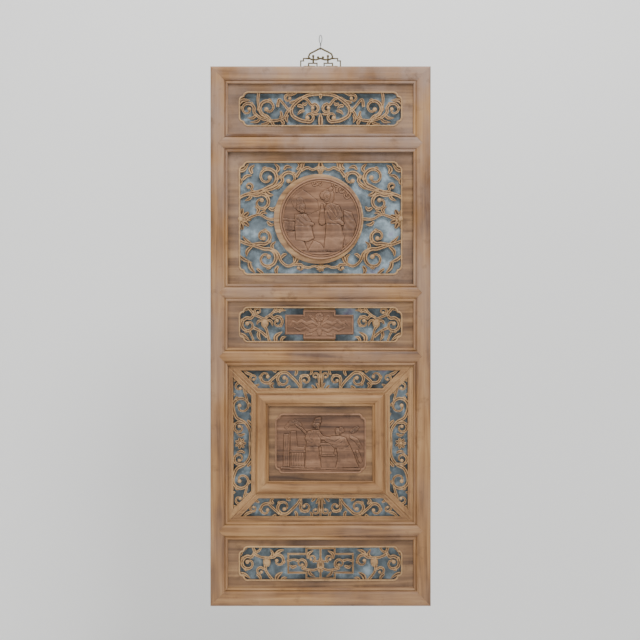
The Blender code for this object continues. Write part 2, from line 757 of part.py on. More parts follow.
def border_outline(inset, long_edge, short_edge, reach):
    """A mitred border board's outline, above the bay's centre, with its ends drawn in by inset."""
    return [
        (-(short_edge + reach) + inset, short_edge),
        (short_edge + reach - inset, short_edge),
        (long_edge + reach - inset, long_edge),
        (-(long_edge + reach) + inset, long_edge),
    ]


def border_board(name, upright, flip, shapes, parts, helpers, z):
    """One of the four boards between the bay's edge and the small frame."""
    half_height = BAY_HEIGHTS[3] / 2
    reach = BAY_HALF_WIDTH - half_height
    if upright:
        half_height, reach = BAY_HALF_WIDTH, -reach
    inner = half_height - BORDER_WIDTH

    def place(outline):
        turned_outline = [(y, x) if upright else (x, y) for x, y in outline]
        return shifted([(x * (flip if upright else 1), y * (1 if upright else flip)) for x, y in turned_outline], 0, z)

    slant = math.sqrt(2)
    whole = border_outline(HALF_GAP * slant, half_height + BOARD_EDGE, inner - INNER_LIP + JOINT_GAP, reach)
    margin = BORDER_MARGIN
    opening = border_outline(margin * slant, half_height - margin, inner + margin, reach)
    placed = [shifted(shape, 0, z) for shape in shapes]
    mesh = merged(name, placed, BOARD_BACK, BOARD_FRONT, place(whole), place(opening))
    obj = mesh_object(name, mesh, parts, "carved_wood")
    beads = []
    for tag, near in (("outer", 2.2), ("inner", margin - BORDER_BEAD - 0.6)):
        rings = [
            place(border_outline(inset * slant, half_height - inset, inner + inset, reach))
            for inset in (near, near + BORDER_BEAD)
        ]
        beads.append(extruded(f"{name}_{tag}_bead", rings, BOARD_FRONT - 1, BOARD_FRONT + BEAD_RISE / 2))
    boolean(obj, "UNION", helper_collection(f"{name}_beads", helpers, beads))
    return obj


def border_boards(z, parts, helpers):
    level = both_sides(BORDER_TOP_SCROLLS) + [BORDER_TOP_POST]
    border_board("border_panel_top", False, 1, bands(level), parts, helpers, z)
    border_board("border_panel_bottom", False, -1, bands(map(turned_over, level)), parts, helpers, z)
    upright = list(BORDER_SIDE_SCROLLS) + [turned_over(s) for s in BORDER_SIDE_SCROLLS]
    upright.append(BORDER_ROSETTE_LINK)
    centre, radius, lobe = BORDER_ROSETTE
    for name, side in (("left", -1), ("right", 1)):
        scrolls = upright if side < 0 else [mirrored(scroll) for scroll in upright]
        flower = rosette((centre[0] * -side, centre[1]), radius, lobe, 5, 2)
        border_board(f"border_panel_{name}", True, side, bands(scrolls) + [flower], parts, helpers, z)


def inner_frame(z, parts):
    """The small mitred frame that floats between the border boards and holds the relief."""
    half_width = BAY_HALF_WIDTH - BORDER_WIDTH - INNER_MEMBER
    half_height = BAY_HEIGHTS[3] / 2 - BORDER_WIDTH - INNER_MEMBER
    section = inner_section()
    for word, side in (("top", 1), ("bottom", -1)):
        name = f"inner_rail_{word}"
        mesh = member(name, section, side * half_height, side, half_width, True, INNER_MEMBER)
        mesh_object(name, moved(mesh, 0, z), parts, "frame_wood")
    for word, side in (("left", -1), ("right", 1)):
        name = f"inner_stile_{word}"
        mesh = member(name, section, side * half_width, side, half_height, False, INNER_MEMBER)
        mesh_object(name, moved(mesh, 0, z), parts, "frame_wood")
    return half_width, half_height


def robe(x, hem, waist, half_hem, half_waist, lean=0.0):
    """The outline of a long robe, with a wavy hem."""
    return [
        (x - half_hem, hem + 2),
        (x - half_hem * 0.4, hem - 1.5),
        (x + half_hem * 0.3, hem + 1),
        (x + half_hem, hem - 1),
        (x + lean + half_waist, waist),
        (x + lean - half_waist, waist),
    ]


def blade(start, end, width):
    """A narrow lens between two points, for a fold, a sleeve or a leaf."""
    start, end = Vector(start), Vector(end)
    along = end - start
    across = Vector((-along.y, along.x)).normalized() * width / 2
    middle = (start + end) / 2
    return [tuple(p) for p in (start, middle - across, end, middle + across)]


def medallion_relief(ground):
    """Two robed figures among rocks, with a cloud above them."""
    top = MEDALLION_FRONT - 1
    forms = [
        ("slope", [(-40, 66), (-10, 43), (-5, 22), (-66, 26), (-68, 46)], ground + 1.8),
        ("standing_skirt", robe(33, -70, -8, 24, 12, 2), top - 1.5),
        ("standing_body", [(12, -12), (48, -14), (56, 8), (44, 32), (14, 34)], top),
        ("standing_sleeve", blade((22, 20), (56, -16), 17), top + 0.6),
        ("standing_fold", blade((28, -14), (24, -66), 7), top - 0.6),
        ("hood", ellipse((19, 57), (14.5, 13), 6), top - 1.6),
        ("seated_skirt", robe(-42, -52, -12, 21, 13, -3), top - 1.2),
        ("seated_body", [(-64, -16), (-28, -18), (-28, 4), (-46, 12), (-60, 8)], top - 0.5),
        ("seated_sleeve", blade((-56, 4), (-22, -22), 12), top),
        ("vase", ellipse((4, -10), (9, 16), 6), top - 1),
        ("cloud", rosette((55, 70), 13, 3, 4, 2), ground + 2.6),
        ("rock_left", [(-82, -30), (-60, -24), (-42, -66), (-64, -62)], top - 2),
        ("rock_mid", [(-38, -78), (-18, -52), (2, -62), (8, -78)], top - 1.6),
        ("rock_right", [(60, 20), (80, 14), (84, -24), (70, -54), (58, -30)], top - 1.8),
    ]
    heads = [("standing_head", (15, 55), (7, 9)), ("seated_head", (-47, 23), (7.5, 9.5))]
    return forms, heads


def centre_relief(ground):
    """A standing figure and a bowing one at a low table, with a seat, a banner and foliage."""
    top = ground + 4.6
    forms = [
        ("post", rectangle(8, 92, (-86, -12)), ground + 3),
        ("seat", [(-76, 32), (-64, 32), (-62, -4), (-44, -8), (-44, -58), (-76, -58)], ground + 2.4),
        ("banner", blade((-76, 48), (-40, 52), 16), ground + 2.2),
        ("staff", blade((-50, 42), (-32, 18), 5), ground + 3.2),
        ("standing_skirt", robe(-24, -60, -4, 20, 12, 2), top - 0.8),
        ("standing_body", [(-36, -6), (-8, -8), (2, 14), (-6, 34), (-30, 32)], top),
        ("standing_sleeve", blade((-18, 22), (16, 10), 10), top + 0.5),
        ("hat", [(-16, 54), (4, 54), (1, 68), (-12, 66)], top - 0.7),
        ("table", [(-4, 0), (-4, -6), (4, -28), (32, -28), (40, -6), (40, 0)], top - 1),
        ("bowing_body", [(20, 10), (44, 20), (62, 14), (70, -8), (26, -8)], top),
        ("bowing_robe", [(44, -4), (72, -2), (94, -60), (40, -60)], top - 0.7),
        ("foliage", rosette((84, 32), 13, 3, 4, 2), ground + 2.8),
    ]
    heads = [("standing_head", (-6, 49), (6.5, 8.5)), ("bowing_head", (45, 27), (6.5, 8))]
    return forms, heads


def plaque_relief(ground):
    """A vase of flowers with ribbons blowing out to both sides."""
    top = ground + 2.8
    forms = [("vase", ellipse((0, -8), (8, 15), 6), top), ("flower", ellipse((0, 18), (12, 10), 6), top - 0.3)]
    for side, word in ((-1, "left"), (1, "right")):
        forms += [
            (f"ribbon_{word}_a", blade((side * 6, 0), (side * 44, 10), 12), top - 0.5),
            (f"ribbon_{word}_b", blade((side * 34, 12), (side * 74, -5), 10), top - 0.8),
            (f"ribbon_{word}_c", blade((side * 7, -10), (side * 46, -16), 8), top - 0.7),
        ]
    return forms, []


def carve(obj, relief, ground, centre, helpers):
    """Joins a relief's forms and heads to the ground that they stand on."""
    forms, heads = relief
    x, z = centre
    meshes = [
        boss(f"{obj.name}_{tag}", shifted(outline, x, z), ground - 1.2 - 0.07 * index, front)
        for index, (tag, outline, front) in enumerate(forms)
    ]
    meshes += [
        head(f"{obj.name}_{tag}", (x + at[0], z + at[1]), ground + 2.5, (*size, 4.5))
        for tag, at, size in heads
    ]
    boolean(obj, "UNION", helper_collection(f"{obj.name}_relief", helpers, meshes))


def medallion(z, parts, helpers):
    rim = MEDALLION_RADIUS
    profile = [
        (0, MEDALLION_GROUND), (rim - 9, MEDALLION_GROUND), (rim - 7.5, MEDALLION_FRONT - 1),
        (rim - 4, MEDALLION_FRONT), (rim, MEDALLION_FRONT - 2.5), (rim, MEDALLION_BACK), (0, MEDALLION_BACK),
    ]
    centre = (MEDALLION_CENTRE[0], MEDALLION_CENTRE[1] + z)
    obj = turned("medallion", profile, ROUND_STEPS, centre, parts, "relief_wood")
    carve(obj, medallion_relief(MEDALLION_GROUND), MEDALLION_GROUND, centre, helpers)
    return obj


def narrow_plaque(z, parts, helpers):
    outline = shifted(cross_outline(PLAQUE_TALL, PLAQUE_WIDE), PLAQUE_SHIFT, z)
    inside = shifted(cross_outline(PLAQUE_TALL, PLAQUE_WIDE, -PLAQUE_BORDER), PLAQUE_SHIFT, z)
    mesh = extruded("narrow_plaque", [outline], PLAQUE_BACK, PLAQUE_FRONT)
    obj = mesh_object("narrow_plaque", mesh, parts, "relief_wood")
    cutter = extruded("plaque_field", [inside], PLAQUE_GROUND, FRAME_DEPTH)
    boolean(obj, "DIFFERENCE", as_helper(mesh_object("plaque_field", cutter, helpers)))
    carve(obj, plaque_relief(PLAQUE_GROUND), PLAQUE_GROUND, (PLAQUE_SHIFT, z), helpers)
    return obj


def relief_board(z, half_size, parts, helpers):
    """The board in the small frame: a beaded outline round a sunk ground with figures."""
    half_width, half_height = half_size
    lap = INNER_LIP - JOINT_GAP
    board = rectangle(2 * (half_width + lap), 2 * (half_height + lap), (0, z))
    mesh = extruded("centre_relief_panel", [board], BOARD_BACK, BOARD_FRONT)
    obj = mesh_object("centre_relief_panel", mesh, parts, "relief_wood")
    width, height = RELIEF_SIZE
    sunk = stepped_corners(width - BEAD_WIDTH + 1, height - BEAD_WIDTH + 1, RELIEF_STEP, (0, z))
    cutter = extruded("relief_field", [sunk], RELIEF_GROUND, FRAME_DEPTH)
    boolean(obj, "DIFFERENCE", as_helper(mesh_object("relief_field", cutter, helpers)))
    rings = [
        stepped_corners(width + grow, height + grow, RELIEF_STEP, (0, z))
        for grow in (BEAD_WIDTH, -BEAD_WIDTH)
    ]
    bead = extruded("relief_bead", rings, RELIEF_GROUND - 0.5, BOARD_FRONT + 1.6)
    boolean(obj, "UNION", as_helper(mesh_object("relief_bead", bead, helpers)))
    carve(obj, centre_relief(RELIEF_GROUND), RELIEF_GROUND, (0, z), helpers)
    return obj


def backing_boards(bays, parts):
    """Thin painted boards behind the openwork, one in each bay's groove."""
    names = ("top", "medallion", "narrow", "square", "bottom")
    for name, z, height in zip(names, bays, BAY_HEIGHTS):
        width = 2 * (BAY_HALF_WIDTH + BOARD_EDGE)
        outline = rectangle(width, height + 2 * BOARD_EDGE, (0, z))
        mesh = extruded(f"backing_{name}", [outline], BACKING_BACK, BACKING_FRONT)
        mesh_object(f"backing_{name}", mesh, parts, "painted_ground")


def hanger(parts, helpers):
    """The openwork hanger: flat strokes over the rail, and a tab on each side let in behind it."""
    shapes = []
    for side in (1, -1):
        for points in (HANGER_ARCH, HANGER_SHOULDER, HANGER_SCALLOP, HANGER_STEM, HANGER_HOOK):
            shapes += band_shapes(stem(*[(side * x, z) for x, z in points], width=HANGER_STROKE))
        for x, z in HANGER_KNOBS:
            shapes.append(ellipse((side * x, z), (HANGER_KNOB_RADIUS, HANGER_KNOB_RADIUS), 4))
        middle = (side * TAB_CENTRE, (TAB_TOP + TAB_BOTTOM) / 2)
        shapes.append(rectangle(TAB_WIDTH, TAB_TOP - TAB_BOTTOM, middle))
    mesh = merged("hanger", shapes, HANGER_BACK, HANGER_FRONT)
    obj = mesh_object("hanger", mesh, parts, "hanger_brass")
    holes = [
        extruded(
            f"hanger_hole_{word}",
            [ellipse((side * TAB_CENTRE, SCREW_HEIGHT), (SCREW_HOLE_RADIUS, SCREW_HOLE_RADIUS), 8)],
            -1,
            HANGER_FRONT + 1,
        )
        for word, side in (("left", -1), ("right", 1))
    ]
    boolean(obj, "DIFFERENCE", helper_collection("hanger_holes", helpers, holes))
    return obj


def hanger_pockets(rail, helpers):
    """Pockets in the rail's back for the tabs, open at the top, with a pilot hole for each screw."""
    cutters = []
    for word, side in (("left", -1), ("right", 1)):
        low, high = TAB_BOTTOM - JOINT_GAP, FRAME_TOP + 5
        pocket = rectangle(TAB_WIDTH + 2 * JOINT_GAP, high - low, (side * TAB_CENTRE, (low + high) / 2))
        cutters.append(extruded(f"pocket_{word}", [pocket], -1, POCKET_DEPTH))
        foot_x = side * -HANGER_SHOULDER[4][0]
        slot = rectangle(18, 10, (foot_x - side * 5, FRAME_TOP))
        cutters.append(extruded(f"pocket_foot_{word}", [slot], -1.5, POCKET_DEPTH + 0.2))
        hole = ellipse((side * TAB_CENTRE, SCREW_HEIGHT), (SCREW_HOLE_RADIUS, SCREW_HOLE_RADIUS), 8)
        cutters.append(extruded(f"pilot_{word}", [hole], -2, SCREW_LENGTH + 4))
    boolean(rail, "DIFFERENCE", helper_collection("top_rail_pockets", helpers, cutters))


def hanger_screws(parts):
    head_back = HANGER_BACK - JOINT_GAP
    profile = [
        (0, SCREW_LENGTH + head_back), (SCREW_RADIUS, SCREW_LENGTH + head_back - 3),
        (SCREW_RADIUS, head_back), (SCREW_HEAD_RADIUS, head_back), (2.2, head_back - 1.5), (0, head_back - 1.6),
    ]
    for word, side in (("left", -1), ("right", 1)):
        turned(f"hanger_screw_{word}", profile, 8, (side * TAB_CENTRE, SCREW_HEIGHT), parts, "hanger_brass")


def wire_ring(name, points):
    curve = bpy.data.curves.new(name, "CURVE")
    curve.dimensions = "3D"
    curve.bevel_depth = WIRE_RADIUS * MM
    curve.bevel_resolution = 1
    add_spline(curve, points)
    return curve_mesh(curve, name)


def hanging_loop(parts, helpers):
    """A wire eye for the nail, twisted off over a small eye that holds the hanger's peak."""
    middle = -(HANGER_BACK + HANGER_FRONT) / 2
    half_width, half_height, centre_z = UPPER_EYE
    upper = [
        (x, middle, z) for x, z in ellipse((0, centre_z), (half_width, half_height), 10)
    ]
    lower = [(0, middle + y, z) for y, z in LOWER_EYE]
    obj = mesh_object("hanging_loop", wire_ring("hanging_loop", upper), parts, "steel_wire")
    twist_low, twist_high = LOWER_EYE[4][1] - 0.5, centre_z - half_height + 0.8
    twist = bmesh.new()
    bmesh.ops.create_cone(
        twist, cap_ends=True, segments=6, radius1=1.9 * MM, radius2=1.5 * MM, depth=(twist_high - twist_low) * MM
    )
    mesh = bpy.data.meshes.new("loop_twist")
    twist.to_mesh(mesh)
    twist.free()
    mesh.transform(Matrix.Translation((0, middle * MM, (twist_low + twist_high) / 2 * MM)))
    boolean(obj, "UNION", helper_collection("loop_wires", helpers, [wire_ring("loop_lower", lower), mesh]))
    return obj


def main():
    clear_scene()
    parts = new_collection(OBJECT_NAME)
    helpers = new_collection("cutters")
    bays, rails, bottom = bay_layout()
    stile("left_stile", -1, rails, bottom, parts, helpers)
    stile("right_stile", 1, rails, bottom, parts, helpers)
    top_rail = outer_rail("top_rail", FRAME_TOP - TOP_RAIL_WIDTH, 1, TOP_RAIL_WIDTH, parts)
    outer_rail("bottom_rail", bottom + BOTTOM_RAIL_WIDTH, -1, BOTTOM_RAIL_WIDTH, parts)
    for index, (z, width) in enumerate(zip(rails, CROSS_RAIL_WIDTHS), start=1):
        cross_rail(f"cross_rail_{index}", z, width, parts)
    top_board(bays[0], parts, helpers)
    medallion_board(bays[1], parts, helpers)
    medallion(bays[1], parts, helpers)
    narrow_board(bays[2], parts, helpers)
    narrow_plaque(bays[2], parts, helpers)
    border_boards(bays[3], parts, helpers)
    half_size = inner_frame(bays[3], parts)
    relief_board(bays[3], half_size, parts, helpers)
    bottom_board(bays[4], parts, helpers)
    backing_boards(bays, parts)
    hanger_pockets(top_rail, helpers)
    hanger(parts, helpers)
    hanger_screws(parts)
    hanging_loop(parts, helpers)


main()
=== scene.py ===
"""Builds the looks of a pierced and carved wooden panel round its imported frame.

Drawings are in millimetres, from the middle of the board or relief that they belong to, with X to
the right and Z up. Depths are measured forward from the wall, which is at Y = 0.
"""

import math
from collections import namedtuple

import bmesh
import bpy
import numpy as np
from bpy.props import FloatProperty, FloatVectorProperty, IntProperty, PointerProperty
from mathutils import Matrix, Vector, noise


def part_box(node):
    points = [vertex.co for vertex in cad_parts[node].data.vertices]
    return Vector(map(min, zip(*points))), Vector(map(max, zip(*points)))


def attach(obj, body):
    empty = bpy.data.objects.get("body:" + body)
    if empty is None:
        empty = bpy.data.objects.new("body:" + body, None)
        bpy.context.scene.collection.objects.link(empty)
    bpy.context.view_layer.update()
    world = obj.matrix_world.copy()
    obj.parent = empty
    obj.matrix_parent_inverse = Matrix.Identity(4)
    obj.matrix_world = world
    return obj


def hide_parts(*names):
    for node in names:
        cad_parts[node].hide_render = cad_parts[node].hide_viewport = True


bl_info = {
    "name": "Carved Wooden Panel",
    "version": (1, 0, 0),
    "blender": (4, 5, 0),
    "location": "View3D > Sidebar > Carved Panel",
    "description": "Carves the openwork and reliefs of a framed wooden panel",
    "category": "Object",
}

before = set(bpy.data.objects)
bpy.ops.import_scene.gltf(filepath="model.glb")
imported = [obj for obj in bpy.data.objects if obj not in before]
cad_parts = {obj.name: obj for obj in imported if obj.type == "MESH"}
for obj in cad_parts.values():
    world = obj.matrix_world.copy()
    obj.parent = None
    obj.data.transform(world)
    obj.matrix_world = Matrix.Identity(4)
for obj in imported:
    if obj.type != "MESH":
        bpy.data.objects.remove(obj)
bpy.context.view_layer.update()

MM = 0.001
TO_FRONT = Matrix.Rotation(math.radians(90), 4, "X")
SMOOTH_ANGLE = math.radians(38)

FRAME_MEMBERS = (
    "left_stile", "right_stile", "top_rail", "bottom_rail",
    "cross_rail_1", "cross_rail_2", "cross_rail_3", "cross_rail_4",
)
INNER_MEMBERS = ("inner_rail_top", "inner_rail_bottom", "inner_stile_left", "inner_stile_right")
BACKINGS = ("backing_top", "backing_medallion", "backing_narrow", "backing_square", "backing_bottom")

# Boards and cartouches, as the solids have them
BOARD_BACK, BOARD_FRONT, SUNK_FRONT = 10, 22, 18
CARTOUCHE_WIDTH = 407
CARTOUCHE_HEIGHTS = {"top_panel": 84, "medallion_panel": 282, "narrow_panel": 86, "bottom_panel": 84}
CARTOUCHE_STEP = 21
MEDALLION_RADIUS, MEDALLION_CENTRE = 103, (0, -1)
RING_RADIUS, RING_CENTRE = 112.5, (-5, -2)
PLAQUE_TALL, PLAQUE_WIDE, PLAQUE_SHIFT = (82, 73), (172, 50), -3
STEPPED_TALL, STEPPED_WIDE = (71, 76), (162, 47)
BORDER_WIDTH, BORDER_MARGIN = 71, 13
RELIEF_SIZE, RELIEF_STEP = (224, 146), 17

# The section of a carved band, for a half-width of one: two ridges with a hollow between them
BAND_SECTION = (
    (-1, -0.5), (-0.93, -0.2), (-0.72, -0.02), (-0.5, -0.02), (-0.28, -0.2), (0, -0.36),
    (0.28, -0.2), (0.5, -0.02), (0.72, -0.02), (0.93, -0.2), (1, -0.5), (0.96, -1.9), (-0.96, -1.9),
)
WALL_CLEARANCE = 0.3

# A carved band ends in a volute, a stem runs between two places, and a leaf swells and tapers
Scroll = namedtuple("Scroll", "tail centre radius start sweep width")


def stem(*points, width=5):
    return Scroll(points, None, 0, 0, 0, width)


def leaf(*points, width=8):
    return Scroll(points, None, -1, 0, 0, width)


TOP_SCROLLS = (
    Scroll(((-116, -44), (-124, -31)), (-132, 3), 22, -95, -400, 9),
    Scroll(((-126, -30), (-147, -24), (-161, -15)), (-183, -1), 17, -20, 390, 8),
    stem((-155, 43), (-157, 22), (-153, 0), (-140, -18), (-127, -29), width=7.5),
    stem((-126, -29), (-108, -28), (-92, -22), (-84, -8), (-75, 2), width=8),
    stem((-108, 6), (-104, 24), (-92, 12), (-82, 0), (-74, -4), width=7.5),
    Scroll(((-56, 44), (-68, 38)), (-81, 27), 9.5, 60, 290, 7),
    leaf((-78, 17), (-64, 19), (-50, 31), width=9),
    Scroll(((3, 38), (-30, 35), (-54, 22), (-72, 3), (-70, -16), (-50, -28)), (-29, -20), 12, -115, 330, 9),
    Scroll(((-46, 29), (-34, 24)), (-16, 1), 12, 125, -330, 7.5),
    leaf((-205, 12), (-196, 22), (-176, 22), width=10),
    leaf((-160, -13), (-170, -22), (-184, -22), width=8),
    leaf((-150, -22), (-160, -31), (-176, -33), width=8),
    leaf((-128, -30), (-135, -36), (-150, -38), width=8),
    leaf((-100, -26), (-94, -34), (-96, -42), width=9),
    leaf((-82, -14), (-86, -24), (-82, -34), width=8),
    leaf((-100, -5), (-98, -16), (-104, -24), width=8),
    leaf((-58, 8), (-50, 8), (-42, 2), width=9),
    leaf((-46, 14), (-38, 12), (-34, 18), width=8),
    leaf((-40, -4), (-50, -6), (-58, -14), width=8),
    leaf((-24, -8), (-12, -12), (-3, -12), width=8),
)
TOP_CENTRE = (
    leaf((0, -44), (0, -28), (0, -10), width=13),
    leaf((0, 44), (0, 38), (0, 26), width=12),
)

MEDALLION_SCROLLS = (
    Scroll(((-206, 52), (-180, 62), (-152, 68)), (-134, 103), 25, -80, 430, 9.5),
    Scroll(((-146, 69), (-119, 75)), (-78, 98), 20, 200, -320, 9),
    Scroll(((-206, 50), (-186, 60)), (-149, 40), 21, 125, -410, 9),
    Scroll(((-156, 65), (-168, 68)), (-180, 80), 9.5, -50, 300, 6),
    Scroll(((-206, -56), (-178, -66)), (-144, -46), 19, -115, 400, 9),
    Scroll(((-178, -65), (-160, -71)), (-135, -101), 25, 105, -425, 9.5),
    stem((-124, -78), (-108, -88), (-99, -108), (-82, -120), (-64, -112), (-55, -94), width=9),
    Scroll(((-78, -119), (-60, -116)), (-52, -124), 8, 100, -260, 7),
    stem((-46, -121), (-30, -124), (-16, -120), (-2, -124), width=7),
    stem((-43, 144), (-47, 126), (-62, 104), width=9),
    stem((-49, 120), (-34, 127), (-20, 122), (-6, 127), (3, 124), width=8),
    stem((-186, -2), (-168, 6), (-152, 9), (-130, -2), (-100, -1), width=7.5),
    leaf((-172, 112), (-176, 124), (-166, 134), width=11),
    leaf((-196, 96), (-186, 106), (-172, 108), width=9),
    leaf((-205, 118), (-192, 122), (-180, 138), width=9),
    leaf((-110, 116), (-106, 126), (-116, 138), width=10),
    leaf((-96, 86), (-104, 80), (-112, 72), width=9),
    leaf((-140, 70), (-130, 60), (-118, 58), width=11),
    leaf((-172, 62), (-178, 50), (-190, 44), width=9),
    leaf((-130, 26), (-120, 22), (-112, 30), width=10),
    leaf((-206, 84), (-200, 92), (-206, 106), width=9),
    leaf((-160, 12), (-156, 22), (-166, 30), width=9),
    leaf((-152, 6), (-146, 14), (-134, 12), width=9),
    leaf((-134, -8), (-126, -16), (-114, -16), width=9),
    leaf((-174, -64), (-186, -56), (-196, -44), width=8),
    leaf((-172, -70), (-184, -82), (-186, -96), width=10),
    leaf((-206, -92), (-192, -104), (-172, -112), width=9),
    leaf((-180, -108), (-176, -124), (-164, -138), width=11),
    leaf((-106, -120), (-112, -130), (-108, -143), width=10),
    leaf((-160, -126), (-150, -134), (-140, -143), width=8),
    leaf((-118, -82), (-122, -68), (-112, -58), width=9),
    leaf((-100, -100), (-92, -92), (-84, -90), width=9),
    leaf((-66, -112), (-66, -98), (-74, -90), width=8),
    leaf((-92, 122), (-84, 130), (-70, 126), width=9),
    leaf((-60, 122), (-52, 132), (-60, 144), width=9),
)
MEDALLION_CENTRE_PIECES = (
    leaf((0, 140), (0, 126), (0, 104), width=17),
    leaf((-12, 128), (-5, 122), (0, 112), width=9),
    leaf((12, 128), (5, 122), (0, 112), width=9),
)
PEONY = ((-201, -2), 27)
LOWER_FLOWER = ((0, -124), 11)

NARROW_SCROLLS = (
    Scroll(((-184, 45), (-169, 27)), (-181, -1), 18.5, 70, 420, 8.5),
    Scroll(((-171, 24),), (-157, 33), 9, 215, -310, 6),
    stem((-169, 26), (-155, 20), (-141, 15), (-126, 25), (-117, 33), (-110, 46), width=7),
    Scroll(((-138, 18), (-126, 22)), (-108, 6), 14, 135, -390, 7.5),
    stem((-141, -4), (-135, -14), (-132, -28), (-127, -46), width=7.5),
    stem((-168, -8), (-152, -16), (-134, -31), width=8),
    stem((-179, -16), (-172, -30), (-167, -46), width=6),
    leaf((-118, 31), (-102, 36), (-86, 36), width=8),
    leaf((-112, -46), (-112, -30), (-96, -18), width=11),
    leaf((-100, -46), (-96, -34), (-86, -30), width=8),
    leaf((-204, -22), (-192, -28), (-178, -40), width=9),
    leaf((-154, -14), (-156, -28), (-150, -40), width=9),
    leaf((-196, 30), (-190, 38), (-176, 38), width=8),
    leaf((-134, 12), (-124, 8), (-120, -4), width=7),
    leaf((-146, 10), (-156, 8), (-160, 0), width=7),
    leaf((-104, 30), (-98, 40), (-104, 46), width=8),
)
BOTTOM_SCROLLS = (
    Scroll(((-171, 45), (-166, 28)), (-181, 0), 18, 65, 420, 8.5),
    stem((-150, 45), (-153, 33), (-168, 25), width=7),
    stem((-168, 24), (-151, 16), (-134, 13), width=7.5),
    Scroll(((-140, 13),), (-106, 6), 16, 145, -340, 7.5),
    stem((-139, -4), (-137, -18), (-128, -32), (-117, -46), width=7.5),
    Scroll(((-136, -16),), (-151, -20), 10, 40, 290, 6),
    leaf((-112, -46), (-108, -32), (-95, -22), width=11),
    leaf((-100, -46), (-94, -38), (-84, -36), width=8),
    leaf((-130, 12), (-120, 22), (-126, 36), width=8),
    leaf((-116, 20), (-104, 30), (-92, 34), width=9),
    leaf((-200, 20), (-196, 32), (-184, 38), width=8),
    leaf((-204, -24), (-190, -28), (-176, -38), width=8),
    leaf((-160, -26), (-152, -34), (-150, -44), width=8),
    Scroll(((3, -9), (-18, -17)), (-48, -1), 12.5, -75, 380, 6.5),
    Scroll(((2, 4), (-10, 5)), (-22, 12), 8.5, -60, 290, 5.5),
    stem((-56, 6), (-68, 9), (-84, 5), width=6.5),
    leaf((-60, -6), (-70, -10), (-78, -4), width=8),
    leaf((-30, -14), (-26, -26), (-14, -34), width=8),
    leaf((-32, 12), (-30, 24), (-18, 32), width=8),
)
BUDS = {"narrow_panel": ((-140, 4), (10, 13)), "bottom_panel": ((-135, 3), (10, 13))}
BOTTOM_CENTRE = (
    leaf((0, -22), (0, -4), (0, 16), width=19),
    stem((0, 45), (0, 30), (0, -26), (0, -45), width=6),
)

BORDER_TOP_SCROLLS = (
    Scroll(((-46, 130), (-57, 150)), (-92, 160), 18.5, 35, 400, 8),
    Scroll(((-103, 177),), (-137, 167), 16.5, -25, -330, 7.5),
    Scroll(((-176, 150),), (-168, 163), 8.5, 200, -290, 5.5),
    Scroll(((-50, 130),), (-38, 159), 13.5, 215, -370, 7),
    Scroll(((-3, 130), (-4, 155)), (-13, 169), 8, -15, 290, 5.5),
    leaf((-154, 148), (-164, 144), (-172, 148), width=7),
    leaf((-118, 152), (-124, 144), (-116, 136), width=9),
    leaf((-76, 144), (-84, 138), (-80, 130), width=8),
    leaf((-64, 170), (-60, 180), (-66, 188), width=8),
    leaf((-112, 178), (-118, 184), (-128, 188), width=8),
    leaf((-172, 172), (-184, 176), (-196, 186), width=8),
    leaf((-22, 146), (-16, 138), (-20, 130), width=7),
    leaf((0, 130), (-6, 144), (-12, 152), width=8),
    leaf((-26, 172), (-22, 180), (-28, 188), width=7),
)
BORDER_TOP_CENTRE = (leaf((0, 126), (0, 146), (0, 172), width=13), stem((0, 165), (0, 190), width=6))
BORDER_SIDE_SCROLLS = (
    Scroll(((-184, 108),), (-204, 141), 12.5, -20, 330, 7),
    Scroll(((-177, 0), (-177, 30), (-190, 52), (-210, 64)), (-198, 93), 22, 200, -400, 8),
    Scroll(((-188, 51),), (-204, 39), 14, 70, 380, 7),
    leaf((-186, 126), (-178, 132), (-176, 142), width=7),
    leaf((-214, 122), (-222, 126), (-224, 136), width=7),
    leaf((-176, 76), (-170, 68), (-170, 56), width=8),
    leaf((-184, 58), (-176, 50), (-170, 40), width=8),
    leaf((-222, 62), (-224, 50), (-218, 42), width=7),
    leaf((-216, 155), (-212, 166), (-204, 174), width=7),
    leaf((-190, 24), (-200, 20), (-210, 22), width=7),
)
BORDER_ROSETTE = ((-201, 0), 14)

# The hanger's strokes, left half, above the top rail's mid-height
HANGER_FRONT, HANGER_BACK = 4.7, 2.3
HANGER_STROKES = (
    ((1, 72.2), (-10, 66.5), (-18, 62.5), (-27, 57.5), (-30, 51), (-28.5, 44)),
    ((-28, 45.5), (-43, 45.5), (-43, 39.5), (-50, 39.5), (-50, 21), (-38, 21)),
    ((-31, 47), (-22, 43), (-11, 42.4), (1, 46)),
    ((-18.5, 51), (-18.5, 32)),
    ((-30, 22), (-30, 33.5), (-9, 33.5), (-9, 24.5), (1, 24.5)),
)
HANGER_KNOBS = ((-18.5, 51.5), (-6.2, 48.2))

# Finishes as the shader takes them: light, middle and dark tones of each wood
WOODS = {
    "frame": ((0.46, 0.27, 0.12), (0.3, 0.155, 0.062), (0.1, 0.045, 0.02)),
    "board": ((0.36, 0.21, 0.095), (0.19, 0.1, 0.045), (0.055, 0.026, 0.012)),
    "carving": ((0.52, 0.33, 0.16), (0.27, 0.145, 0.062), (0.045, 0.022, 0.011)),
    "relief": ((0.36, 0.2, 0.115), (0.175, 0.087, 0.046), (0.045, 0.02, 0.011)),
}


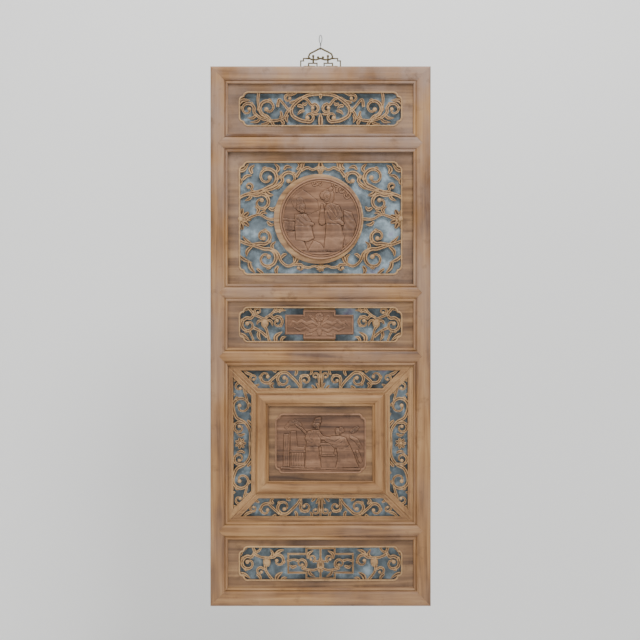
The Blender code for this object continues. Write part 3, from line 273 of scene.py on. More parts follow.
class CarvedPanelSizes(bpy.types.PropertyGroup):
    bead_width: FloatProperty(
        name="Bead width", description="Width of the bead round each cartouche", default=4.0 * MM,
        unit="LENGTH",
    )
    bead_rise: FloatProperty(
        name="Bead rise", description="How far the beads stand over their boards", default=2.0 * MM,
        unit="LENGTH",
    )
    band_drop: FloatProperty(
        name="Band drop", description="How far the carved bands lie below their board's front",
        default=0.5 * MM, unit="LENGTH",
    )
    relief_pitch: FloatProperty(
        name="Relief pitch", description="Spacing of the points of a relief's surface",
        default=0.9 * MM, unit="LENGTH",
    )
    band_steps: IntProperty(
        name="Band steps", description="Steps between two places of a band", default=5, min=2
    )


class CarvedPanelFinish(bpy.types.PropertyGroup):
    ground: FloatVectorProperty(
        name="Painted ground", description="Paint behind the openwork", subtype="COLOR",
        default=(0.14, 0.18, 0.205), min=0, max=1,
    )
    weathered: FloatVectorProperty(
        name="Weathered wood", description="Greyer tone of the worn upper frame", subtype="COLOR",
        default=(0.3, 0.22, 0.185), min=0, max=1,
    )
    brass: FloatVectorProperty(
        name="Hanger", description="Aged brass of the hanger", subtype="COLOR",
        default=(0.17, 0.125, 0.06), min=0, max=1,
    )
    wire: FloatVectorProperty(
        name="Wire", description="Dull steel of the wire eye", subtype="COLOR",
        default=(0.2, 0.2, 0.21), min=0, max=1,
    )


def sizes():
    return bpy.context.scene.carved_panel_sizes


def finish():
    return bpy.context.scene.carved_panel_finish


def select_only(*objects):
    bpy.ops.object.select_all(action="DESELECT")
    for obj in objects:
        obj.select_set(True)
    bpy.context.view_layer.objects.active = objects[0]


def settle(obj):
    """Applies an object's place, so that it sits at the origin."""
    select_only(obj)
    bpy.ops.object.transform_apply(location=True, rotation=True, scale=True)
    return obj


def converted(obj):
    """Turns a curve into a mesh in place, with its caps welded and its faces pointing outwards."""
    select_only(obj)
    bpy.ops.object.convert(target="MESH")
    obj = settle(bpy.context.view_layer.objects.active)
    bpy.ops.object.mode_set(mode="EDIT")
    bpy.ops.mesh.select_all(action="SELECT")
    bpy.ops.mesh.remove_doubles(threshold=0.00001)
    bpy.ops.mesh.normals_make_consistent(inside=False)
    bpy.ops.object.mode_set(mode="OBJECT")
    return obj


def joined(name, objects):
    select_only(*objects)
    if len(objects) > 1:
        bpy.ops.object.join()
    obj = bpy.context.view_layer.objects.active
    obj.name = obj.data.name = name
    return obj


def shade(obj, angle=SMOOTH_ANGLE):
    select_only(obj)
    bpy.ops.object.shade_smooth_by_angle(angle=angle)
    return obj


def middle(node):
    """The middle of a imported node, in millimetres across and up."""
    low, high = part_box(node)
    return (low.x + high.x) / 2 / MM, (low.z + high.z) / 2 / MM


def dress(obj, material):
    obj.data.materials.clear()
    obj.data.materials.append(material)
    return obj


def stand_in(piece, slot, *nodes):
    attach(piece, "root")
    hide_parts(*nodes)


def drawing(name, lines, depth, place, closed, thick=0.0, round_radius=0.0, section=None):
    """A curve drawn on the front, as a filled slab, a round bead or a band with the given section."""
    curve = bpy.data.curves.new(name, "CURVE")
    curve.dimensions = "2D" if thick else "3D"
    curve.twist_mode = "Z_UP"
    curve.use_fill_caps = True
    if thick:
        curve.fill_mode = "BOTH"
        curve.extrude = thick / 2 * MM
    elif section:
        curve.bevel_mode = "OBJECT"
        curve.bevel_object = section
    else:
        curve.bevel_depth = round_radius * MM
        curve.bevel_resolution = 3
    for line in lines:
        spline = curve.splines.new("POLY")
        spline.points.add(len(line) - 1)
        for point, (x, z, *rest) in zip(spline.points, line):
            lift = rest[1] if len(rest) > 1 else 0
            point.co = (x * MM, z * MM, lift * MM, 1)
            point.radius = rest[0] if rest else 1
        spline.use_cyclic_u = closed
    obj = bpy.data.objects.new(name, curve)
    bpy.context.scene.collection.objects.link(obj)
    obj.matrix_world = Matrix.Translation((place[0] * MM, -depth * MM, place[1] * MM)) @ TO_FRONT
    return converted(obj)


def section_curve(name, points):
    """A closed section that carved bands are swept with, one millimetre to the unit."""
    curve = bpy.data.curves.new(name, "CURVE")
    curve.dimensions = "2D"
    spline = curve.splines.new("POLY")
    spline.points.add(len(points) - 1)
    for point, (across, up) in zip(spline.points, points):
        point.co = (across * MM, up * MM, 0, 1)
    spline.use_cyclic_u = True
    obj = bpy.data.objects.new(name, curve)
    bpy.context.scene.collection.objects.link(obj)
    return obj


def rectangle(width, height, centre=(0, 0)):
    x, z = centre
    return [
        (x - width / 2, z - height / 2),
        (x + width / 2, z - height / 2),
        (x + width / 2, z + height / 2),
        (x - width / 2, z + height / 2),
    ]


def circle(radius, centre=(0, 0), steps=72):
    turns = (2 * math.pi * step / steps for step in range(steps))
    return [(centre[0] + radius * math.cos(t), centre[1] + radius * math.sin(t)) for t in turns]


def stepped_corners(width, height, step, steps=7):
    """A rectangle whose corners are cut by two rounded steps with a cusp between them."""
    outline = []
    for x_side, z_side, backwards in ((1, 1, False), (-1, 1, True), (-1, -1, False), (1, -1, True)):
        corner = []
        for lobe_x, lobe_z in ((0.5, 1), (1, 0.5)):
            for arc in range(steps + 1):
                turn = math.pi / 2 * arc / steps
                x = width / 2 - step * lobe_x + step / 2 * math.cos(turn)
                z = height / 2 - step * lobe_z + step / 2 * math.sin(turn)
                if not corner or arc:
                    corner.append((x_side * x, z_side * z))
        outline += corner[::-1] if backwards else corner
    return outline


def cross_outline(tall, wide, grow=0.0):
    """A stepped cross: a tall block over a wide one, grown or shrunk all round."""
    tall_x, tall_z = tall[0] / 2 + grow, tall[1] / 2 + grow
    wide_x, wide_z = wide[0] / 2 + grow, wide[1] / 2 + grow
    quarter = [(wide_x, wide_z), (tall_x, wide_z), (tall_x, tall_z)]
    upper = quarter + [(-x, z) for x, z in reversed(quarter)]
    return upper + [(x, -z) for x, z in reversed(upper)]


def spline_through(points, steps):
    """A Catmull-Rom curve through the points."""
    ends = [2 * points[0] - points[1], *points, 2 * points[-1] - points[-2]]
    curve = []
    for before, first, last, after in zip(ends, ends[1:], ends[2:], ends[3:]):
        for step in range(steps):
            t = step / steps
            flow = 2 * first + (last - before) * t
            flow += (2 * before - 5 * first + 4 * last - after) * t**2
            flow += (3 * first - before - 3 * last + after) * t**3
            curve.append(flow / 2)
    return curve + [points[-1]]


def volute_points(scroll, step=36):
    """The turns of a volute, round at first and tightening towards its eye."""
    steps = max(6, round(abs(scroll.sweep) / step))
    eye_radius = max(0.26 * scroll.radius, 0.55 * scroll.width)
    points = []
    for index in range(steps + 1):
        share = index / steps
        radius = scroll.radius - (scroll.radius - eye_radius) * share**1.5
        turn = math.radians(scroll.start + scroll.sweep * share)
        points.append(
            Vector((scroll.centre[0] + radius * math.cos(turn), scroll.centre[1] + radius * math.sin(turn)))
        )
    return points


def band_line(scroll):
    """The path of a band as x, z, half-width and lift over its board's level."""
    points = [Vector(point) for point in scroll.tail]
    if scroll.radius > 0:
        points += volute_points(scroll)
    path = spline_through(points, sizes().band_steps)
    line = []
    for index, point in enumerate(path):
        share = index / (len(path) - 1)
        if scroll.radius > 0:
            girth = 0.8 + 0.25 * math.sin(math.pi * min(1, share * 1.5)) - 0.3 * share**2
            lift = -0.8 * share
        elif scroll.radius < 0:
            girth = max(0.06, math.sin(math.pi * (0.14 + 0.84 * share)) ** 0.8)
            lift = -0.5 - 1.2 * share
        else:
            girth = 0.92 + 0.12 * math.cos(2 * math.pi * share)
            lift = -0.3
        line.append((point.x, point.y, girth * scroll.width / 2, lift))
    return line


def mirrored(scroll):
    return Scroll(
        tuple((-x, z) for x, z in scroll.tail),
        scroll.centre and (-scroll.centre[0], scroll.centre[1]),
        scroll.radius,
        180 - scroll.start,
        -scroll.sweep,
        scroll.width,
    )


def turned_over(scroll):
    return Scroll(
        tuple((x, -z) for x, z in scroll.tail),
        scroll.centre and (scroll.centre[0], -scroll.centre[1]),
        scroll.radius,
        -scroll.start,
        -scroll.sweep,
        scroll.width,
    )


def both_sides(scrolls):
    return list(scrolls) + [mirrored(scroll) for scroll in scrolls]


def barbs(scroll):
    """Small leaves that spring from the outside of a large volute."""
    if scroll.radius < 13:
        return []
    points = volute_points(scroll)
    sprouts = []
    for share in (0.16, 0.42):
        index = round(share * (len(points) - 1))
        point, after = points[index], points[index + 1]
        along = (after - point).normalized()
        out = (point - Vector(scroll.centre)).normalized()
        reach = scroll.radius * 0.36
        tail = (
            tuple(point - along * reach * 0.4),
            tuple(point + out * reach * 0.55 + along * reach * 0.3),
            tuple(point + out * reach * 0.95 + along * reach * 1.1),
        )
        sprouts.append(leaf(*tail, width=scroll.width * 0.85))
    return sprouts


def knob(name, centre, radius, depth, squash=0.6):
    """A small carved knob, a ball pressed flat towards its ground."""
    bpy.ops.object.select_all(action="DESELECT")
    place = (centre[0] * MM, -depth * MM, centre[1] * MM)
    bpy.ops.mesh.primitive_uv_sphere_add(segments=14, ring_count=8, radius=radius * MM, location=place)
    obj = bpy.context.view_layer.objects.active
    obj.name = name
    obj.scale = (1, squash, 1)
    return settle(obj)


def egg(name, centre, radii, depth):
    """A long carved bud with a smooth crown."""
    obj = knob(name, (0, 0), 1, 0, 1)
    obj.scale = (radii[0], radii[2], radii[1])
    obj.location = (centre[0] * MM, -depth * MM, centre[1] * MM)
    return settle(obj)


def flower(name, centre, radius, depth, petals=8, rings=2):
    """A carved flower: rings of petals, each ring smaller and further forward, round a knob."""
    pieces = [knob(f"{name}_eye", centre, radius * 0.24, depth + 2.2)]
    section = section_curve("petal_section", BAND_SECTION)
    lines = []
    for ring in range(rings):
        reach = radius * (1 - 0.36 * ring)
        for petal in range(petals):
            turn = 2 * math.pi * (petal + 0.5 * ring) / petals
            along = Vector((math.cos(turn), math.sin(turn)))
            middle_point = Vector(centre)
            points = [middle_point + along * reach * share for share in (0.12, 0.55, 1)]
            path = spline_through(points, 5)
            width = 2.1 * reach / petals
            for index, point in enumerate(path):
                share = index / (len(path) - 1)
                path[index] = (point.x, point.y, max(0.3, width * math.sin(math.pi * (0.12 + 0.8 * share)) ** 0.6), ring * 1.4 - 1.6 * share)
            lines.append(path)
    pieces.append(drawing(f"{name}_petals", lines, depth, (0, 0), False, section=section))
    bpy.data.objects.remove(section)
    return joined(name, pieces)


def mark_wear_and_shade(obj, even=None):
    """Stores how far each point stands out of its neighbours: the shader rubs a point that stands out light and gives
    it a painted highlight, and keeps a point in a hollow dark with wax and painted shade.
    """
    mesh = obj.data
    count = len(mesh.vertices)
    values = np.full(count, 0.5 if even is None else even)
    if even is None:
        places = np.empty(count * 3)
        mesh.vertices.foreach_get("co", places)
        places = places.reshape(-1, 3)
        normals = np.empty(count * 3)
        mesh.vertices.foreach_get("normal", normals)
        normals = normals.reshape(-1, 3)
        ends = np.empty(len(mesh.edges) * 2, dtype=np.int64)
        mesh.edges.foreach_get("vertices", ends)
        near, far = ends.reshape(-1, 2).T
        along = places[far] - places[near]
        along /= np.linalg.norm(along, axis=1, keepdims=True) + 1e-12
        bend = np.zeros(count)
        links = np.zeros(count)
        np.add.at(bend, near, np.sum(normals[near] * along, axis=1))
        np.add.at(bend, far, -np.sum(normals[far] * along, axis=1))
        np.add.at(links, near, 1)
        np.add.at(links, far, 1)
        # Above one half: rubbed wood and a painted highlight; below it: dark wax and painted shade.
        values = np.clip(0.5 - 1.3 * bend / np.maximum(links, 1), 0, 1)
    attribute = mesh.attributes.get("wear_and_shade") or mesh.attributes.new("wear_and_shade", "FLOAT", "POINT")
    attribute.data.foreach_set("value", values.astype(np.float32))
    return obj


class Nodes:
    """A short hand for building a material's nodes."""

    def __init__(self, name):
        self.material = bpy.data.materials.new(name)
        self.material.use_nodes = True
        self.tree = self.material.node_tree
        self.shader = self.tree.nodes["Principled BSDF"]

    def add(self, kind, inputs=(), **settings):
        node = self.tree.nodes.new(kind)
        for key, value in settings.items():
            setattr(node, key, value)
        for key, value in dict(inputs).items():
            self.feed(node.inputs[key], value)
        return node

    def feed(self, socket, value):
        if isinstance(value, bpy.types.NodeSocket):
            self.tree.links.new(value, socket)
        else:
            socket.default_value = value

    def ramp(self, value, stops):
        node = self.add("ShaderNodeValToRGB", {"Fac": value})
        ramp = node.color_ramp
        while len(ramp.elements) < len(stops):
            ramp.elements.new(0.5)
        for element, (place, colour) in zip(ramp.elements, stops):
            element.position = place
            element.color = (*colour, 1) if len(colour) == 3 else colour
        return node.outputs["Color"]

    def mix(self, share, first, second, blend="MIX"):
        node = self.add("ShaderNodeMix", data_type="RGBA", blend_type=blend)
        self.feed(node.inputs[0], share)
        self.feed(node.inputs[6], first if not isinstance(first, tuple) else (*first[:3], 1))
        self.feed(node.inputs[7], second if not isinstance(second, tuple) else (*second[:3], 1))
        return node.outputs[2]

    def math(self, operation, first, second=0.0, clamp=False):
        node = self.add("ShaderNodeMath", operation=operation, use_clamp=clamp)
        self.feed(node.inputs[0], first)
        self.feed(node.inputs[1], second)
        return node.outputs[0]

    def range(self, value, low, high, to_low=0.0, to_high=1.0):
        inputs = {"Value": value, "From Min": low, "From Max": high, "To Min": to_low, "To Max": to_high}
        return self.add("ShaderNodeMapRange", inputs).outputs["Result"]

    def noise(self, vector, scale, detail=4.0, roughness=0.55, distortion=0.0):
        inputs = {
            "Vector": vector, "Scale": scale, "Detail": detail, "Roughness": roughness,
            "Distortion": distortion,
        }
        return self.add("ShaderNodeTexNoise", inputs).outputs["Fac"]

    def mapped(self, scale, place=(0, 0, 0)):
        source = self.add("ShaderNodeTexCoord").outputs["Object"]
        return self.add("ShaderNodeMapping", {"Vector": source, "Scale": scale, "Location": place}).outputs[0]

    def place(self):
        source = self.add("ShaderNodeTexCoord").outputs["Object"]
        return self.add("ShaderNodeSeparateXYZ", {"Vector": source}).outputs

    def bump(self, height, strength, distance):
        inputs = {"Height": height, "Strength": strength, "Distance": distance}
        return self.add("ShaderNodeBump", inputs).outputs["Normal"]


def wood(name, tones, upright, seed, carved=False, grey=0.0, roughness=0.5):
    """Worn, waxed wood with its grain along the piece; carved pieces get dark wax and painted shade in their hollows,
    rubbed wood and a painted highlight on their ridges, and painted shade where they are set deepest.
    """
    light, mid, dark = WOODS[tones]
    nodes = Nodes(name)
    along, across = 3.0, 60.0
    scale = (across, across, along) if upright else (along, across, across)
    grain = nodes.mapped(scale, (seed * 1.7, seed * 2.3, seed * 3.1))
    streaks = nodes.noise(grain, 1.0, 8, 0.62, 0.6)
    broad = nodes.noise(nodes.mapped((9, 9, 6), (seed, seed * 2, 0)), 1.0, 3, 0.5)
    fibres = nodes.noise(nodes.mapped(tuple(s * 6 for s in scale)), 1.0, 4, 0.6)
    tone = nodes.math("ADD", nodes.math("MULTIPLY", streaks, 0.65), nodes.math("MULTIPLY", broad, 0.35))
    colour = nodes.ramp(tone, ((0.34, dark), (0.5, mid), (0.66, light)))
    x, y, z = nodes.place()
    height = nodes.range(z, -0.95 , 0.05)
    patches = nodes.noise(nodes.mapped((7, 7, 4), (seed * 5, 0, 3)), 1.0, 5, 0.6)
    faded = nodes.math("MULTIPLY", nodes.range(patches, 0.4, 0.62), nodes.range(height, 0, 1, grey * 0.25, grey), True)
    colour = nodes.mix(faded, colour, tuple(finish().weathered))
    if carved:
        wear_and_shade = nodes.add("ShaderNodeAttribute", attribute_name="wear_and_shade").outputs["Fac"]
        scuffs = nodes.noise(nodes.mapped((140, 140, 140)), 1.0, 3, 0.6)
        rub_and_shade = nodes.math("ADD", wear_and_shade, nodes.math("MULTIPLY", nodes.math("SUBTRACT", scuffs, 0.5), 0.35))
        # Ridges are mixed towards the light tone: rubbed wood and a painted highlight.
        colour = nodes.mix(nodes.range(rub_and_shade, 0.55, 0.8, 0, 0.75), colour, light)
        # Hollows are mixed towards the dark tone: dark wax and painted shade.
        colour = nodes.mix(nodes.range(rub_and_shade, 0.47, 0.28, 0, 0.9), colour, dark)
        # Painted shade: the parts set furthest back, towards the wall, are mixed towards the dark tone.
        painted_recess_shade = nodes.range(y, -0.0165, -0.0125, 0, 0.85)
        colour = nodes.mix(painted_recess_shade, colour, dark)
    grime = nodes.noise(nodes.mapped((30, 30, 30), (0, seed, 0)), 1.0, 4, 0.6)
    colour = nodes.mix(nodes.range(grime, 0.58, 0.72, 0, 0.45), colour, dark)
    nodes.feed(nodes.shader.inputs["Base Color"], colour)
    gloss = nodes.range(fibres, 0.3, 0.7, roughness - 0.08, roughness + 0.14)
    nodes.feed(nodes.shader.inputs["Roughness"], gloss)
    rough_grain = nodes.math("ADD", nodes.math("MULTIPLY", streaks, 0.6), nodes.math("MULTIPLY", fibres, 0.4))
    nodes.feed(nodes.shader.inputs["Normal"], nodes.bump(rough_grain, 0.35, 0.0006))
    nodes.shader.inputs["Specular IOR Level"].default_value = 0.35
    return nodes.material


def painted_ground(name, seed):
    """Chalky slate-blue paint, rubbed and dusty."""
    nodes = Nodes(name)
    paint = tuple(finish().ground)
    cloudy = nodes.noise(nodes.mapped((22, 22, 22), (seed, 0, seed)), 1.0, 5, 0.6)
    fine = nodes.noise(nodes.mapped((160, 160, 160)), 1.0, 3, 0.6)
    pale = tuple(min(1, channel * 1.9 + 0.02) for channel in paint)
    lilac = (paint[0] * 1.5, paint[1] * 1.1, paint[2] * 1.5)
    dusk = tuple(channel * 0.45 for channel in paint)
    colour = nodes.ramp(cloudy, ((0.3, dusk), (0.48, paint), (0.6, pale), (0.72, lilac)))
    colour = nodes.mix(nodes.range(fine, 0.55, 0.75, 0, 0.5), colour, dusk)
    nodes.feed(nodes.shader.inputs["Base Color"], colour)
    nodes.shader.inputs["Roughness"].default_value = 0.8
    nodes.feed(nodes.shader.inputs["Normal"], nodes.bump(fine, 0.3, 0.0004))
    return nodes.material


def aged_metal(name, colour, roughness, patina):
    nodes = Nodes(name)
    spots = nodes.noise(nodes.mapped((240, 240, 240)), 1.0, 5, 0.6)
    shade_of = tuple(channel * 0.35 for channel in colour)
    nodes.feed(nodes.shader.inputs["Base Color"], nodes.ramp(spots, ((0.35, shade_of), (0.52, colour), (0.7, patina))))
    nodes.shader.inputs["Metallic"].default_value = 0.8
    nodes.feed(nodes.shader.inputs["Roughness"], nodes.range(spots, 0.3, 0.7, roughness, roughness + 0.25))
    nodes.feed(nodes.shader.inputs["Normal"], nodes.bump(spots, 0.4, 0.0003))
    return nodes.material


def openwork(name, scrolls, level, place):
    """The carved bands, leaves and eyes of one board, in one mesh."""
    section = section_curve("band_section", BAND_SECTION)
    shapes = list(scrolls)
    for scroll in scrolls:
        shapes += barbs(scroll)
    depth = level - sizes().band_drop / MM
    lines = [band_line(scroll) for scroll in shapes]
    bands = drawing(f"{name}_bands", lines, depth, place, False, section=section)
    bpy.data.objects.remove(section)
    eyes = []
    for index, scroll in enumerate(scrolls):
        if scroll.radius > 0:
            eye = volute_points(scroll)[-1]
            centre = (eye.x + place[0], eye.y + place[1])
            eyes.append(knob(f"{name}_eye_{index}", centre, 0.62 * scroll.width, depth - 1.6, 0.75))
    return mark_wear_and_shade(shade(joined(f"{name}_openwork", [bands] + eyes)))


def bead(name, outline, level, place, width):
    """A rounded bead along a closed outline, half sunk in its board."""
    radius = width / MM / 2
    depth = level + sizes().bead_rise / MM - radius
    line = [(x, z, 1) for x, z in outline]
    obj = drawing(name, [line], depth, place, True, round_radius=radius)
    # The whole bead is marked as standing out, so it is mixed towards the light tone: rubbed wood and a painted
    # highlight.
    return mark_wear_and_shade(shade(obj), 0.72)


def slab(name, outlines, low, high, place):
    """A flat board with its outlines cut through, its arrises softened."""
    obj = drawing(name, outlines, (low + high) / 2, place, True, thick=high - low)
    select_only(obj)
    soften = obj.modifiers.new("Soften", "BEVEL")
    soften.width = 0.7 * MM
    soften.segments = 2
    soften.limit_method = "ANGLE"
    soften.angle_limit = math.radians(50)
    bpy.ops.object.modifier_apply(modifier=soften.name)
    return mark_wear_and_shade(shade(obj), 0.5)


def cartouche_board(name, scrolls, level, extra=(), seed=1.0):
    """Dresses a board that is pierced inside its cartouche."""
    x, z = middle(name)
    low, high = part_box(name)
    width, height = (high.x - low.x) / MM, (high.z - low.z) / MM
    tall = CARTOUCHE_HEIGHTS[name]
    inset = sizes().bead_width / MM / 2
    opening = stepped_corners(CARTOUCHE_WIDTH - 2 * inset, tall - 2 * inset, CARTOUCHE_STEP)
    board = slab(f"{name}_board", [rectangle(width, height), opening], BOARD_BACK, level, (x, z))
    rim = stepped_corners(CARTOUCHE_WIDTH, tall, CARTOUCHE_STEP)
    moulding = bead(f"{name}_bead", rim, level, (x, z), sizes().bead_width)
    carving = openwork(name, scrolls, level, (x, z))
    dress(board, wood(f"{name} wood", "board", False, seed, True, 0.5))
    carved = wood(f"{name} carving", "carving", False, seed + 0.4, True, 0.25)
    for piece in [moulding, carving, *extra]:
        dress(piece, carved)
    return joined(f"{name}_carved", [board, moulding, carving, *extra])


class DressFrame(bpy.types.Operator):
    """Gives the frame, the small frame and the ground their finishes"""

    bl_idname = "carved_panel.frame"
    bl_label = "Frame and ground"

    def execute(self, context):
        for index, name in enumerate(FRAME_MEMBERS):
            upright = name.endswith("stile")
            finish_of = wood(f"{name} wood", "frame", upright, 1.3 * index + 0.7, False, 0.8)
            dress(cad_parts[name], finish_of)
        for index, name in enumerate(INNER_MEMBERS):
            finish_of = wood(f"{name} wood", "frame", "stile" in name, 2.1 * index + 0.2, False, 0.1)
            dress(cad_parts[name], finish_of)
        for index, name in enumerate(BACKINGS):
            dress(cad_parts[name], painted_ground(f"{name} paint", 3.3 * index))
        return {"FINISHED"}


class CarveTopBoard(bpy.types.Operator):
    """Carves the top board's scrollwork"""

    bl_idname = "carved_panel.top_board"
    bl_label = "Top board"

    def execute(self, context):
        scrolls = both_sides(TOP_SCROLLS) + list(TOP_CENTRE)
        stand_in(cartouche_board("top_panel", scrolls, BOARD_FRONT, seed=1.1), "carved_wood", "top_panel")
        return {"FINISHED"}


class CarveMedallionBoard(bpy.types.Operator):
    """Carves the large board's scrollwork, flowers and ring"""

    bl_idname = "carved_panel.medallion_board"
    bl_label = "Medallion board"

    def execute(self, context):
        x, z = middle("medallion_panel")
        scrolls = both_sides(MEDALLION_SCROLLS) + list(MEDALLION_CENTRE_PIECES)
        extra = []
        (flower_x, flower_z), radius = PEONY
        for side in (-1, 1):
            place = (x - side * flower_x, z + flower_z)
            extra.append(mark_wear_and_shade(shade(flower(f"peony_{side + 1}", place, radius, SUNK_FRONT - 1.5, 9, 3))))
        (flower_x, flower_z), radius = LOWER_FLOWER
        extra.append(mark_wear_and_shade(shade(flower("lower_flower", (x + flower_x, z + flower_z), radius, SUNK_FRONT - 1, 7, 2))))
        centre = (x + RING_CENTRE[0], z + RING_CENTRE[1])
        seat = (MEDALLION_CENTRE[0] - RING_CENTRE[0], MEDALLION_CENTRE[1] - RING_CENTRE[1])
        hole = circle(MEDALLION_RADIUS + WALL_CLEARANCE, seat)
        ring = slab("ring_field", [circle(RING_RADIUS), hole], BOARD_BACK + 1, 20.4, centre)
        floor_disc = slab("ring_floor", [circle(RING_RADIUS - 2)], BOARD_BACK, 12, centre)
        extra += [ring, floor_disc]
        piece = cartouche_board("medallion_panel", scrolls, SUNK_FRONT, extra, 4.2)
        stand_in(piece, "carved_wood", "medallion_panel")
        return {"FINISHED"}


class CarveNarrowBoard(bpy.types.Operator):
    """Carves the narrow board's scrollwork and the field behind its plaque"""

    bl_idname = "carved_panel.narrow_board"
    bl_label = "Narrow board"

    def execute(self, context):
        x, z = middle("narrow_panel")
        (bud_x, bud_z), (wide, tall) = BUDS["narrow_panel"]
        extra = [
            mark_wear_and_shade(shade(egg(f"narrow_bud_{side + 1}", (x - side * bud_x, z + bud_z), (wide, tall, 7), 15)))
            for side in (-1, 1)
        ]
        field = cross_outline((PLAQUE_TALL[0] - 4, 88), (PLAQUE_WIDE[0] - 4, PLAQUE_WIDE[1] - 4))
        extra.append(slab("narrow_field", [field], BOARD_BACK, 18, (x + PLAQUE_SHIFT, z)))
        piece = cartouche_board("narrow_panel", both_sides(NARROW_SCROLLS), BOARD_FRONT, extra, 7.7)
        stand_in(piece, "carved_wood", "narrow_panel")
        return {"FINISHED"}


class CarveBottomBoard(bpy.types.Operator):
    """Carves the bottom board's scrollwork and its stepped frame"""

    bl_idname = "carved_panel.bottom_board"
    bl_label = "Bottom board"

    def execute(self, context):
        x, z = middle("bottom_panel")
        (bud_x, bud_z), (wide, tall) = BUDS["bottom_panel"]
        extra = [
            mark_wear_and_shade(shade(egg(f"bottom_bud_{side + 1}", (x - side * bud_x, z + bud_z), (wide, tall, 7), 15)))
            for side in (-1, 1)
        ]
        section = section_curve("bar_section", BAND_SECTION)
        outline = cross_outline(STEPPED_TALL, STEPPED_WIDE)
        line = [(px, pz, 3.2, 0) for px, pz in outline]
        bars = drawing("stepped_bars", [line], BOARD_FRONT - 0.2, (x, z), True, section=section)
        bpy.data.objects.remove(section)
        extra.append(mark_wear_and_shade(shade(bars)))
        scrolls = both_sides(BOTTOM_SCROLLS) + list(BOTTOM_CENTRE)
        piece = cartouche_board("bottom_panel", scrolls, BOARD_FRONT, extra, 9.4)
        stand_in(piece, "carved_wood", "bottom_panel")
        return {"FINISHED"}


def border_outline(inset, long_edge, short_edge, reach):
    return [
        (-(short_edge + reach) + inset, short_edge),
        (short_edge + reach - inset, short_edge),
        (long_edge + reach - inset, long_edge),
        (-(long_edge + reach) + inset, long_edge),
    ]


class CarveBorderBoards(bpy.types.Operator):
    """Carves the four mitred boards round the small frame"""

    bl_idname = "carved_panel.border_boards"
    bl_label = "Border boards"

    def execute(self, context):
        low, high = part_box("border_panel_top")
        wide = (high.x - low.x) / MM / 2 - 7
        left_low, left_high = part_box("border_panel_left")
        tall = (left_high.z - left_low.z) / MM / 2 - 7
        centre = middle("border_panel_left")[1]
        level = both_sides(BORDER_TOP_SCROLLS) + list(BORDER_TOP_CENTRE)
        upright = list(BORDER_SIDE_SCROLLS) + [turned_over(s) for s in BORDER_SIDE_SCROLLS]
        plans = (
            ("top", False, 1, level),
            ("bottom", False, -1, [turned_over(scroll) for scroll in level]),
            ("left", True, -1, upright),
            ("right", True, 1, [mirrored(scroll) for scroll in upright]),
        )
        for seed, (word, on_side, flip, scrolls) in enumerate(plans):
            self.carve(word, on_side, flip, scrolls, (wide, tall, centre), 3.1 * seed)
        return {"FINISHED"}

    def carve(self, word, on_side, flip, scrolls, room, seed):
        wide, tall, centre = room
        name = f"border_panel_{word}"
        half, reach = (wide, tall - wide) if on_side else (tall, wide - tall)
        inner = half - BORDER_WIDTH
        slant = math.sqrt(2)

        def lay(outline):
            if on_side:
                return [(y * flip, x) for x, y in outline]
            return [(x, y * flip) for x, y in outline]

        whole = border_outline(0.15 * slant, half + 7, inner - 5.2, reach)
        margin = BORDER_MARGIN
        opening = border_outline(margin * slant, half - margin, inner + margin, reach)
        board = slab(f"{name}_board", [lay(whole), lay(opening)], BOARD_BACK, BOARD_FRONT, (0, centre))
        pieces = []
        for near in (3.4, margin - 1.9):
            rim = lay(border_outline(near * slant, half - near, inner + near, reach))
            pieces.append(bead(f"{name}_bead_{near}", rim, BOARD_FRONT - 1, (0, centre), 2.6 * MM))
        pieces.append(openwork(name, scrolls, BOARD_FRONT, (0, centre)))
        if on_side:
            (flower_x, flower_z), radius = BORDER_ROSETTE
            place = (-flip * flower_x, centre + flower_z)
            pieces.append(mark_wear_and_shade(shade(flower(f"{name}_rosette", place, radius, BOARD_FRONT - 1, 7, 2))))
        dress(board, wood(f"{name} wood", "frame", on_side, seed + 5, True, 0.1))
        carved = wood(f"{name} carving", "carving", on_side, seed + 5.5, True, 0.05)
        for piece in pieces:
            dress(piece, carved)
        stand_in(joined(f"{name}_carved", [board, *pieces]), "carved_wood", name)


def reach_inside(x, z, path):
    """How far each point lies inside a limb that runs through x, z and radius stations."""
    inside = np.full(x.shape, -1e9)
    for (ax, az, ar), (bx, bz, br) in zip(path, path[1:] if len(path) > 1 else path):
        length = (bx - ax) ** 2 + (bz - az) ** 2
        along = ((x - ax) * (bx - ax) + (z - az) * (bz - az)) / max(length, 1e-9)
        along = np.clip(along, 0, 1)
        gap = np.hypot(x - ax - along * (bx - ax), z - az - along * (bz - az))
        inside = np.maximum(inside, ar + along * (br - ar) - gap)
    return inside


def area_inside(x, z, outline):
    """How far each point lies inside an outline, or how far outside it, below zero."""
    gap = np.full(x.shape, 1e9)
    within = np.zeros(x.shape, bool)
    for (ax, az), (bx, bz) in zip(outline, outline[1:] + outline[:1]):
        length = (bx - ax) ** 2 + (bz - az) ** 2
        along = np.clip(((x - ax) * (bx - ax) + (z - az) * (bz - az)) / max(length, 1e-9), 0, 1)
        gap = np.minimum(gap, np.hypot(x - ax - along * (bx - ax), z - az - along * (bz - az)))
        crossing = (az > z) != (bz > z)
        edge = ax + (z - az) * (bx - ax) / (bz - az if bz != az else 1e-9)
        within ^= crossing & (x < edge)
    return np.where(within, gap, -gap)


# A relief's form: a limb or an area, how high its edge and its crown stand, how wide its rounded
# edge is, and folds that fan out from a place
Form = namedtuple("Form", "kind points base crown edge folds")


def limb(*stations, base=1.5, crown=2.0, edge=None, folds=None):
    return Form("limb", stations, base, crown, edge or max(r for *_, r in stations), folds)


def area(*outline, base=1.5, crown=1.6, edge=5.0, folds=None):
    return Form("area", list(outline), base, crown, edge, folds)


